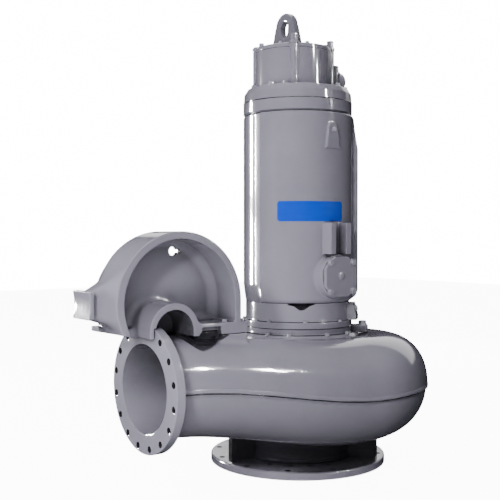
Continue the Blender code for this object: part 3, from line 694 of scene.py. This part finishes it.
mesh = castMesh("motorHousing", motorField, (-0.31, -0.36, 0.77), (0.33, 0.30, 1.73), motor["cell"])
place("motorHousing", mesh, housingPaint,
      ("stator_housing", "cable_duct", "inspection_boss", "coolant_rib_left", "coolant_rib_right",
       "cast_boss"), weigh=False)
print("motor housing cast")

claw = {
    "front": -0.532, "back": -0.348, "foot": 0.719, "wall": 0.030, "web": 0.022,
    "rim": (-0.996, 0.851, 0.278), "tunnel": (-1.028, 0.742, 0.084, 0.111),
    "top": ([-1.293, -1.139, -0.917, -0.685], [0.7695, 0.7505, 0.765, 0.765]),
    "under": ([-1.293, -1.139, -0.917, -0.816, -0.813], [0.748, 0.719, 0.735, 0.735, 0.7193]),
    "wingFront": -0.410, "recess": ((-0.908, -0.60, 0.60), (-0.816, -0.506, 0.7505)),
    "ends": (-1.293, -0.685), "noseStart": -1.232, "noseEnd": -1.12, "noseFloor": 0.7745, "noseRoof": 0.972,
    "noseRoot": 0.100, "neck": 0.049, "power": 4.5, "padBack": -1.358, "padTip": -1.380,
    "pad": (0.803, 0.908, 0.071), "hollow": 0.007, "pocketFloor": 0.60,
    "clearance": (0.2555, -1.120, -1.070), "hole": (-0.941, 1.049, 0.0185),
    "key": ((-0.925, -0.909), (1.043, 1.055)), "holeDepth": (-0.40, -0.30),
    "edge": 0.0045, "pocketFillet": 0.038, "noseFillet": 0.034, "hubFillet": 0.020,
    "bolts": ((-0.780, -0.500), (-0.704, -0.508), (-0.704, -0.385)), "boltSeat": 0.7648,
    "cell": 0.0042,
}


def archField(x, z, middle, height, radius, leftRound=False):  # straight down below its height
    curved = (z > height) | ((x < middle) & leftRound)
    return np.where(curved, np.hypot(x - middle, z - height), np.abs(x - middle)) - radius


def clawField(x, y, z):
    c = claw
    x, y, z = np.broadcast_arrays(x, y, z)
    middle = (c["front"] + c["back"]) / 2
    depth = slab(y, c["front"], c["back"])
    wall = c["back"] - c["web"]
    top = np.interp(x, *c["top"])
    under = np.interp(x, *c["under"])
    rimX, rimZ, rimR = c["rim"]
    share = np.clip((c["noseStart"] - x) / (c["noseStart"] - c["padBack"]), 0, 1.1)
    half = mix(c["neck"], c["noseRoot"], np.maximum(1 - share, 0) ** 2)
    floor = mix(c["noseFloor"], c["pad"][0] + 0.002, share ** 2)
    roof = mix(c["noseRoof"], c["pad"][1] - 0.006, share)
    across = np.abs(y - middle) / half
    up = np.abs(z - (floor + roof) / 2) / ((roof - floor) / 2)
    power = c["power"]
    size = (np.maximum(across, 1e-6) ** power + np.maximum(up, 1e-6) ** power) ** (1 / power)
    nose = meet((size - 1) * half, slab(x, c["padBack"] - 0.008, c["noseEnd"]), 0.002)
    body = unite(archField(x, z, rimX, rimZ, rimR, True), nose, c["noseFillet"])
    body = meet(body, under - z, 0.003)
    body = meet(body, depth, c["edge"])
    pocketFloor = np.where(x < c["tunnel"][0], c["pocketFloor"], top)  # the dish has no floor at the left
    pocket = meet(archField(x, z, rimX, rimZ, rimR - c["wall"], True), pocketFloor - z, 0.010)
    pocket = meet(pocket, y - wall, c["pocketFillet"])
    body = cut(body, pocket, c["edge"])
    plate = np.where(x < c["tunnel"][0], c["wingFront"], c["front"])
    ledge = np.maximum(z - top, under - z)
    ledge = meet(meet(ledge, slab(x, *c["ends"]), 0.003), slab(y, plate, c["back"]), 0.004)
    body = unite(body, ledge, 0.004)
    body = cut(body, boxField(x, y, z, *c["recess"], 0.004), 0.002)
    tunnelX, tunnelZ, inner, outer = c["tunnel"]
    hub = meet(archField(x, z, tunnelX, tunnelZ, outer), c["foot"] - z, 0.003)
    hub = meet(hub, depth, 0.004)
    body = unite(body, hub, c["hubFillet"])
    body = np.maximum(body, depth)
    tunnel = np.maximum(archField(x, z, tunnelX, tunnelZ, inner), y - wall)
    body = cut(body, tunnel, 0.004)
    low, high, wide = c["pad"]
    pad = boxField(x, y, z, (c["padTip"] - 0.02, middle - wide, low), (c["padBack"] + 0.003, middle + wide, high),
                   0.007)
    sag = c["hollow"] * (1 - ((z - (low + high) / 2) / ((high - low) / 2)) ** 2)
    pad = meet(pad, c["padTip"] + np.maximum(sag, 0) - x, 0.004)
    body = unite(body, pad, 0.010)
    radius, *ends = c["clearance"]
    flange = np.maximum(np.hypot(y + casing["line"], z - casing["height"]) - radius, slab(x, *ends))
    body = cut(body, flange, 0.002)
    holeX, holeZ, radius = c["hole"]
    hole = np.hypot(x - holeX, z - holeZ) - radius
    key = np.maximum(slab(x, *c["key"][0]), slab(z, *c["key"][1]))
    return cut(body, np.maximum(np.minimum(hole, key), slab(y, *c["holeDepth"])), 0.0015)


mesh = castMesh("guideClaw", clawField, (-1.40, -0.55, 0.70), (-0.665, -0.33, 1.145), claw["cell"])
place("guideClaw", mesh, clawPaint,
      ("claw_rim", "claw_web", "claw_hub", "claw_base_left", "claw_base_right", "claw_foot",
       "claw_nose", "claw_pad"), weigh=False)
print("guide claw cast")


foot = {"radius": 0.432, "bore": 0.250, "thick": 0.037, "neck": 0.268, "flare": 0.016, "joint": 0.0002,
        "holes": ((0.310, 20, 9, 0.0135), (0.3975, 12, 15, 0.013)), "holeBelt": (0.28, 0.420)}


def baseFlange():
    f = foot
    bore, radius, thick, neck, flare = [f[name] for name in ("bore", "radius", "thick", "neck", "flare")]
    item = lathe("baseFlange", [(bore, thick, 0.001), (radius, thick, 0.009), (radius, 0, 0.003), (bore, 0, 0.003)],
                 footShadePaint, ("base_flange",), steps=144)
    tool = bmesh.new()
    for ring, count, first, size in f["holes"]:
        holeTool(tool, ringOfPlaces(ring, count, first), size, thick)
    carve(item, tool)
    darken(item, lambda p, n: abs(n.z) < 0.95 and f["holeBelt"][0] < p.xy.length < f["holeBelt"][1])
    low, high = thick + f["joint"], casing["floor"] - f["joint"]
    # the inlet neck is painted near black: painted shade under the volute
    lathe("inletNeck", [(bore, high, 0.002), (neck + flare, high, 0), (neck, high - flare, 0.014),
                        (neck, low + flare, 0.014), (neck + 0.014, low, 0), (bore, low, 0.001)],
          shadeAndJointPaint, ("inlet_neck",))


baseFlange()

outlet = {"face": -1.118, "thick": 0.038, "radius": 0.2525, "bore": 0.1744, "hub": 0.2005, "sleeve": 0.083,
          "holes": (0.230, 16, 11.25), "holeSize": 0.0115, "holeLip": 0.0018, "holeBelt": (0.212, 0.246)}


def dischargeFlange():
    o = outlet
    bore, radius, thick, hub, sleeve = [o[name] for name in ("bore", "radius", "thick", "hub", "sleeve")]
    turn = (Matrix.Translation((o["face"], -casing["line"], casing["height"]))
            @ Matrix.Rotation(math.pi / 2, 4, "Y"))
    item = lathe("dischargeFlange", [(bore, 0, 0.002), (radius, 0, 0.0025), (radius, thick, 0.004),
                                     (hub + 0.016, thick, 0.006), (hub + 0.001, thick + 0.018, 0),
                                     (bore + 0.006, sleeve, 0), (bore + 0.004, sleeve, 0), (bore, sleeve - 0.004, 0)],
                 castPaint, ("discharge_flange",), steps=144, matrix=turn)

    def out(p):  # from the bore's middle line
        return math.hypot(p.y + casing["line"], p.z - casing["height"])

    tool = holeTool(bmesh.new(), ringOfPlaces(*o["holes"]), o["holeSize"], thick, o["holeLip"])
    tool.transform(turn)
    carve(item, tool)
    darken(item, lambda p, n: abs(n.x) < 0.95 and o["holeBelt"][0] < out(p) < o["holeBelt"][1])
    darken(item, lambda p, n: out(p) < bore + 0.0002, boreShadePaint)


dischargeFlange()

rings = {  # corners as (radius, height, rounding)
    "voluteCollar": ("volute_collar", (0.292, 0.640, 0.003), (0.305, 0.627, 0.005), (0.305, 0.6003, 0.002)),
    "casingRing": ("casing_flange", (0.270, 0.6685, 0.0015), (0.270, 0.646, 0.003), (0.2765, 0.6403, 0)),
    "bearingRing": ("bearing_flange", (0.270, 0.700, 0.004), (0.270, 0.6697, 0.0018)),
    "topBand": ("top_band", (0.270, 1.763, 0.002), (0.270, 1.710, 0.003), (0.262, 1.705, 0.002),
                (0.262, 1.7003, 0)),
    "coverFlange": ("cover_flange", (0.250, 1.832, 0.006), (0.2655, 1.806, 0.006), (0.2685, 1.7655, 0.002),
                    (0.2655, 1.7633, 0)),
}


def turnRings(*names):
    for name in names:
        node, *corners = rings[name]
        lathe(name, disc(*corners), housingPaint, (node,))


turnRings("voluteCollar", "casingRing", "bearingRing")
joints = {"jointSeal": (0.2704, 0.6672), "sealJoint": (0.2638, 0.6992), "collarJoint": (0.2772, 0.6394),
          "bandJoint": (0.2706, 1.7612), "shoulderJoint": (0.2635, 1.6990)}
for name, (radius, low) in joints.items():
    lathe(name, disc((radius, low + 0.0042, 0), (radius, low, 0)), shadeAndJointPaint, steps=96)

seal = {"radius": 0.258, "low": 0.7003, "high": 0.790, "belts": (0.777, 0.765, 0.750),
        "notch": math.radians(-124.4), "half": 0.068, "deep": 0.030, "tip": 0.012}


def sealHousing():
    s = seal
    radius, low, high, half, deep = [s[name] for name in ("radius", "low", "high", "half", "deep")]
    item = lathe("sealHousing", disc((radius, high, 0.002), *[(radius, up, 0) for up in s["belts"]],
                                     (radius, low + 0.006, 0.005), (radius + 0.005, low, 0)),
                 housingPaint, ("seal_housing",))
    side = [(half, high + 0.001), (half * 0.55, high - deep * 0.36), (s["tip"], high - deep * 0.93)]
    outline = ([(-u, v) for u, v in side] + [(0, high - deep)] + side[::-1]
               + [(half, high + 0.01), (-half, high + 0.01)])
    tool = bmesh.new()
    loft(tool, [[(out, u, v) for u, v in outline] for out in (0.205, 0.30)])
    tool.transform(Matrix.Rotation(s["notch"], 4, "Z"))
    carve(item, tool)
    # painted shade: the notch's inside is painted darker
    darken(item, lambda p, n: p.xy.length < radius - 0.0015 and high - deep - 0.002 < p.z < high - 0.0002,
           notchShadePaint)


sealHousing()
turnRings("topBand", "coverFlange")
print("rings turned")

inspection = {"front": -0.332, "thick": 0.020, "height": 0.918, "half": 0.095, "corner": 0.050, "round": 0.020,
              "bolt": (0.070, 0.068), "plug": 0.922}


def inspectionCover():
    n = inspection
    front, height, half = n["front"], n["height"], n["half"]
    short = half - n["corner"]
    corners = [(half, -short), (half, short), (short, half), (-short, half),
               (-half, short), (-half, -short), (-short, -half), (short, -half)]
    outline = rounded([(x, z, n["round"]) for x, z in corners], 4, True)
    turn = Matrix.Translation((0, front, height)) @ Matrix.Rotation(math.pi / 2, 4, "X")
    place("inspectionCover", slabShape(outline, -n["thick"], 0, 0.005, turn), fittingPaint,
          ("inspection_cover",), "cover_paint")
    boltGroup("coverBolts", [standing((sx * n["bolt"][0], front - 0.0005, height + sz * n["bolt"][1]), (0, -1, 0), 11)
                             for sx in (-1, 1) for sz in (-1, 1)], "cover_paint")
    lathe("coverPlug", [(0, 0.0065, 0), (0.010, 0.006, 0.006), (0.020, 0.0015, 0.003), (0.020, -0.003, 0),
                        (0, -0.003, 0)], fittingPaint, ("cover_plug",), "cover_paint", 32,
          matrix=standing((0, front, n["plug"]), (0, -1, 0)))


inspectionCover()

tag = {"first": -149.2, "last": -79.2, "low": 1.180, "high": 1.274, "corner": 0.014, "out": 0.2768,
       "sunk": 0.0005, "columns": 72}


def nameLabel():
    t = tag
    radius, corner = motor["radius"], t["corner"]
    half = math.radians(t["last"] - t["first"]) / 2 * radius
    middle = math.radians((t["first"] + t["last"]) / 2)
    maker = bmesh.new()
    rows = []
    for k in range(t["columns"] + 1):
        u = mix(-half, half, 0.5 - 0.5 * math.cos(math.pi * k / t["columns"]))
        edge = max(0.0, abs(u) - (half - corner))
        inset = min(corner - math.sqrt(max(corner ** 2 - edge ** 2, 0)), corner * 0.98)
        angle = middle + u / radius
        low, high = t["low"] + inset, t["high"] - inset
        rows.append([(r * math.cos(angle), r * math.sin(angle), z)
                     for r, z in ((radius - t["sunk"], low), (t["out"], low),
                                  (t["out"], high), (radius - t["sunk"], high))])
    loft(maker, rows)
    place("nameLabel", maker, blueLabel, ("name_label",), "blue_label")


nameLabel()

lugs = {"side": -35.8, "root": 0.20, "reach": 0.352, "half": 0.036, "corner": 0.020, "low": 0.632, "high": 0.6687,
        "bolt": 0.325, "drain": -50, "drainHalf": 0.045, "screw": (0.288, 0.756), "screwTilt": 0.25,
        "drainOutline": ((0.21, 0.7004, 0), (0.300, 0.7004, 0.002), (0.300, 0.722, 0.010),
                         (0.284, 0.784, 0.008), (0.21, 0.784, 0))}


def sideLugs():
    g = lugs
    turn = Matrix.Rotation(math.radians(g["side"]), 4, "Z")
    outline = earOutline(g["root"], g["reach"], g["half"], g["corner"])
    place("sideLug", slabShape(outline, g["low"], g["high"], 0.004, turn), fittingPaint, ("side_lug",))
    boltGroup("sideLugBolt", [standing(turn @ Vector((g["bolt"], 0, g["high"])), spin=20)])
    turn = Matrix.Rotation(math.radians(g["drain"]), 4, "Z") @ Matrix.Rotation(math.pi / 2, 4, "X")
    outline = rounded(g["drainOutline"], 5, True)
    place("drainLug", slabShape(outline, -g["drainHalf"], g["drainHalf"], 0.006, turn), fittingPaint, ("drain_lug",))
    reach, height = g["screw"]
    aim = (*onCircle(1, g["drain"]), g["screwTilt"])
    boltGroup("drainScrew", [standing((*onCircle(reach, g["drain"]), height), aim)])


sideLugs()

front = -125.8  # the side that the camera sees
boltRings = {  # radius, height, angles from the front
    "collarBolts": (0.2870, 0.6395, (-32, -10.8, 26.4, 53.4, *range(98, 310, 24))),
    "bearingBolts": (0.2640, 0.6995, (-34, 5, 47, *range(92, 310, 36))),
    "topBolts": (0.236, 1.8315, (-35, -17, 52, *range(82, 293, 30))),
}


def ringBolts(name):
    radius, height, angles = boltRings[name]
    boltGroup(name, [standing((*onCircle(radius, front + angle), height)) for angle in angles])


ringBolts("collarBolts")
ringBolts("bearingBolts")
print("motor fitted out")

box = {"centre": (-0.0166, 0.0120), "radius": 0.190, "low": 1.8323, "top": 2.014, "lid": 2.036,
       "post": 0.020, "postRing": (0.182, 4, -127.8), "postTops": (2.078, 2.078, 2.050, 2.050),
       "lidBolts": (0.166, 8, -105.3), "lidStud": (0.168, 1, 162)}


def terminalBox():
    b = box
    radius, low, top, lid, post, centre = [b[name] for name in ("radius", "low", "top", "lid", "post", "centre")]
    lathe("terminalBox", disc((radius, top, 0.003), (radius, low + 0.010, 0.010), (radius + 0.009, low, 0)),
          housingPaint, ("terminal_box",), centre=centre)
    lathe("boxLid", disc((radius - 0.001, lid, 0.006), (radius - 0.001, top + 0.002, 0.002),
                         (radius - 0.006, top + 0.0003, 0)), fittingPaint, ("box_lid",), "cover_paint", centre=centre)
    for k, (spot, tip) in enumerate(zip(ringOfPlaces(*b["postRing"], centre), b["postTops"]), start=1):
        lathe(f"lidPost{k}", disc((post - 0.003, tip, 0.004), (post - 0.003, lid + 0.010, 0.002),
                                  (post + 0.003, lid + 0.007, 0.002), (post + 0.003, lid - 0.004, 0.002),
                                  (post, lid - 0.008, 0.003), (post, low + 0.006, 0.006), (post + 0.005, low, 0)),
              fittingPaint, (f"lid_post_{k}",), steps=32, centre=spot)
    for name in ("lidBolts", "lidStud"):
        boltGroup(name, [standing((x, y, lid - 0.0002)) for x, y in ringOfPlaces(*b[name], centre)])
    ringBolts("topBolts")


terminalBox()

handle = {"place": (-0.061, 0.009, 0), "thick": 0.040, "half": 0.106, "neck": (0.076, 2.136),
          "crown": (2.139, 0.070), "eye": (2.137, 0.0275), "eyeSide": [(0.0225, 2.112), (0.011, 2.092)],
          "eyeLow": 2.088, "middle": (0, 2.125), "square": 0.45, "steps": 96, "aroundSteps": 20,
          "pad": (0.034, 0.112, 0.012)}


def arcOver(up, radius, angles):
    return [(x, up + y) for x, y in (onCircle(radius, angle) for angle in angles)]


def rayOut(outline, centre, angle):  # how far the outline lies from a centre
    aim = Vector((math.cos(angle), math.sin(angle)))
    best = 0.0
    for a, b in zip(outline, outline[1:] + outline[:1]):
        a, b = Vector(a) - Vector(centre), Vector(b) - Vector(centre)
        side = b - a
        cross = aim.x * side.y - aim.y * side.x
        if abs(cross) < 1e-12:
            continue
        reach = (a.x * side.y - a.y * side.x) / cross
        share = (a.x * aim.y - a.y * aim.x) / cross
        if reach > 0 and -1e-9 <= share <= 1 + 1e-9:
            best = max(best, reach)
    return best


def liftingHandle():
    h = handle
    lid = box["lid"]
    neck, up = h["neck"]
    outline = ([(h["half"], lid + 0.0003), (neck, up)] + arcOver(*h["crown"], range(10, 171, 8))
               + [(-neck, up), (-h["half"], lid + 0.0003)])
    eye = (arcOver(*h["eye"], range(0, 181, 9)) + [(-x, z) for x, z in h["eyeSide"]]
           + [(0, h["eyeLow"])] + h["eyeSide"][::-1])
    middle = h["middle"]
    maker = bmesh.new()
    rings = []
    for k in range(h["steps"]):
        angle = 2 * math.pi * k / h["steps"]
        out, inner = rayOut(outline, middle, angle), rayOut(eye, middle, angle)
        half, thick = (out - inner) / 2, h["thick"] / 2
        ring = []
        for j in range(h["aroundSteps"]):
            a, b = [math.copysign(abs(v) ** h["square"], v) for v in onCircle(1, 360 * j / h["aroundSteps"])]
            reach = inner + half + a * half
            ring.append((b * thick, middle[0] + reach * math.cos(angle), middle[1] + reach * math.sin(angle)))
        rings.append(ring)
    loft(maker, rings, loop=True)
    turn = Matrix.Translation(h["place"])
    maker.transform(turn)
    place("liftingHandle", maker, handlePaint, ("lifting_handle",), "cover_paint")
    u, v, corner = h["pad"]
    pad = rounded([(-u, -v, corner), (u, -v, corner), (u, v, corner), (-u, v, corner)], 5, True)
    place("handlePad", slabShape(pad, lid - 0.002, lid + 0.006, 0.002, turn), fittingPaint, slot="cover_paint")


liftingHandle()

gland = {"side": -11, "root": 0.12, "reach": 0.237, "half": 0.050, "corner": 0.014, "top": 1.970,
         "height": 1.895, "bolts": (0.036, 1.858, 1.932)}


def glandBlock():
    g = gland
    turn = Matrix.Translation((*box["centre"], 0)) @ Matrix.Rotation(math.radians(g["side"]), 4, "Z")
    outline = earOutline(g["root"], g["reach"], g["half"], g["corner"])
    place("glandBlock", slabShape(outline, box["low"], g["top"], 0.008, turn, 4), fittingPaint,
          ("gland_block",), "cover_paint")
    face = g["reach"] + 0.0003
    lathe("cableGland", disc((0.012, 0.052, 0.002), (0.026, 0.050, 0.004), (0.0325, 0.045, 0.004),
                             (0.036, 0.036, 0.003), (0.044, 0.034, 0.003), (0.044, 0, 0)),
          fittingPaint, ("cable_gland",), "cover_paint", 48,
          matrix=turn @ standing((face, 0, g["height"]), (1, 0, 0)))
    across, *heights = g["bolts"]
    boltGroup("glandBolts", [turn @ standing((face, y, z), (1, 0, 0)) for y in (-across, across) for z in heights],
              "cover_paint")


glandBlock()

boltGroup("clawBolts", [standing((x, y, claw["boltSeat"])) for x, y in claw["bolts"]])
boltGroup("earthScrew", [standing((motor["bellSide"], motor["bellFront"] + 0.0002, motor["screwUp"]), (0, -1, 0), 8)])

# pieces that stay as they are in the frame

for name in ("stand_leg_1", "stand_leg_2", "stand_leg_3", "impeller"):
    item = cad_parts[name]
    item.data.materials.clear()
    # the legs are painted near black: painted shade under the volute
    item.data.materials.append(hubIron if name == "impeller" else shadeAndJointPaint)
    step = item.modifiers.new("edge", "BEVEL")
    step.width = 0.0025
    step.segments = 2
    step.limit_method = "ANGLE"
    step.angle_limit = math.radians(40)
print("all pieces placed")


# floor, light and camera

stage = {"floor": (0.86, 0.86, 0.87), "worn": 0.96, "cloud": (0.8, 3, 0.5), "cloudShare": 0.3, "rough": 0.65,
         "half": 14.0, "drop": -0.0005, "glow": 11.0, "glowFrom": (0.415, 0.425)}


def paleFloor():
    s = stage
    material, shop, spot = newMaterial("paleFloor")
    tone = shop.blend(shop.noise(spot, *s["cloud"]) * s["cloudShare"], s["floor"], tinted(s["floor"], s["worn"]))
    # painted shadow: the floor gets no glow inside the flange's rim, a dark disc under the pump
    away = shop.vector("DISTANCE", spot, tuple(shaft))
    glow = shop.blend(away.step(*s["glowFrom"]), (0.0, 0.0, 0.0), (1.0, 1.0, 1.0))
    shop.surface({"Base Color": tone, "Roughness": s["rough"], "Emission Color": glow,
                  "Emission Strength": s["glow"]})
    maker = bmesh.new()
    half = s["half"]
    maker.faces.new([maker.verts.new((x, y, s["drop"])) for x, y in
                     ((-half, -half), (half, -half), (half, half), (-half, half))])
    mesh = meshOf(maker, "paleFloor")
    mesh.materials.append(material)
    item = newObject("paleFloor", mesh)
    item.visible_diffuse = False
    item.visible_glossy = False


paleFloor()

lamps = {  # polar angle, distance and height from the shaft, size, power, what it lights, height aimed at
    "panelLow": (118.0, 8.0, 0.81, (0.60, 1.12), 5700, "gloss", 0.81),
    "panelHigh": (118.0, 8.0, 2.33, (0.60, 1.25), 6400, "gloss", 2.33),
    "frontKey": (-144, 4.6, 2.2, (0.4, 0.4), 150, "soft", 0.8),
    "lowKey": (-132, 2.6, 0.40, (1.9, 0.5), 33, "soft", 0.8),
    "leftKey": (180, 4.0, 1.6, (1.0, 1.0), 95, "soft", 0.8),
    "rightFill": (-72, 4.4, 3.2, (1.6, 1.6), 12, "soft", 0.8),
    "backFill": (50, 5.0, 1.3, (2.0, 2.0), 150, "soft", 0.8),
    "overhead": (60, 0.8, 5.0, (2.4, 2.4), 92, "all", 0.8),
    "sparkLeft": (-68.0, 3.19, 2.78, (0.05, 0.30), 75, "gloss", 0.8),
    "sparkRight": (-55.4, 3.54, 2.44, (0.05, 0.30), 62, "gloss", 0.8),
}
for name, (polar, far, height, size, power, kind, aim) in lamps.items():
    light = bpy.data.lights.new(name, "AREA")
    light.shape = "RECTANGLE"
    light.size, light.size_y = size
    light.energy = power
    item = newObject(name, light)
    item.location = shaft + Vector((*onCircle(far, polar), height))
    item.rotation_euler = (shaft + Vector((0, 0, aim)) - item.location).to_track_quat("-Z", "Y").to_euler()
    item.visible_camera = False
    item.visible_diffuse = kind != "gloss"  # those only make highlights
    item.visible_glossy = kind != "soft"

air = {"seen": (1.0, 1.0, 1.0), "seenLight": 16.0, "side": (0.085, 0.084, 0.094), "dark": (0.020, 0.020, 0.025),
       "sky": (0.60, 0.59, 0.63), "shine": (1.75, 1.75, 1.78), "away": 10, "back": 35,
       "awaySteps": (0.05, 0.75), "skySteps": (0.25, 0.95), "groundSteps": (-0.35, 0.05),
       "shineUp": (0.17, 0.24), "shineBack": (0.76, 0.80)}
world = bpy.data.worlds.new("studio")
bpy.context.scene.world = world
shop = Shop(world)
direction = shop.node("ShaderNodeTexCoord", out="Generated")
height = shop.part(direction, "Z")
toDark, toBack = [shop.vector("DOT_PRODUCT", direction, (*onCircle(1, air[side]), 0.0)) for side in ("away", "back")]
tone = shop.blend(toDark.step(*air["awaySteps"]), air["side"], air["dark"])
tone = shop.blend(height.step(*air["skySteps"]), tone, air["sky"])
glossy = shop.node("ShaderNodeLightPath", out="Is Glossy Ray")
tone = shop.blend(height.step(*air["shineUp"]) * toBack.step(*air["shineBack"]) * glossy, tone, air["shine"])
tone = shop.blend(1 - height.step(*air["groundSteps"]), tone, air["dark"])
lit = shop.node("ShaderNodeBackground", None, {"Color": tone, "Strength": 1.0})
seen = shop.node("ShaderNodeBackground", None, {"Color": (*air["seen"], 1), "Strength": air["seenLight"]})
fromCamera = shop.node("ShaderNodeLightPath", out="Is Camera Ray")
both = shop.node("ShaderNodeMixShader", None, {0: fromCamera, 1: lit, 2: seen})
shop.node("ShaderNodeOutputWorld", None, {"Surface": both})

view = {"place": (-2.766, -3.430, 1.110), "dip": 0.91, "azimuth": -35.8, "lens": 63.36}
camera = bpy.data.cameras.new("photoView")
camera.lens, camera.sensor_width, camera.clip_end = view["lens"], 36, 100
item = newObject("photoView", camera)
item.location = shaft + Vector(view["place"])
item.rotation_euler = (math.radians(90 - view["dip"]), 0, math.radians(view["azimuth"]))
bpy.context.scene.camera = item
print("studio set")
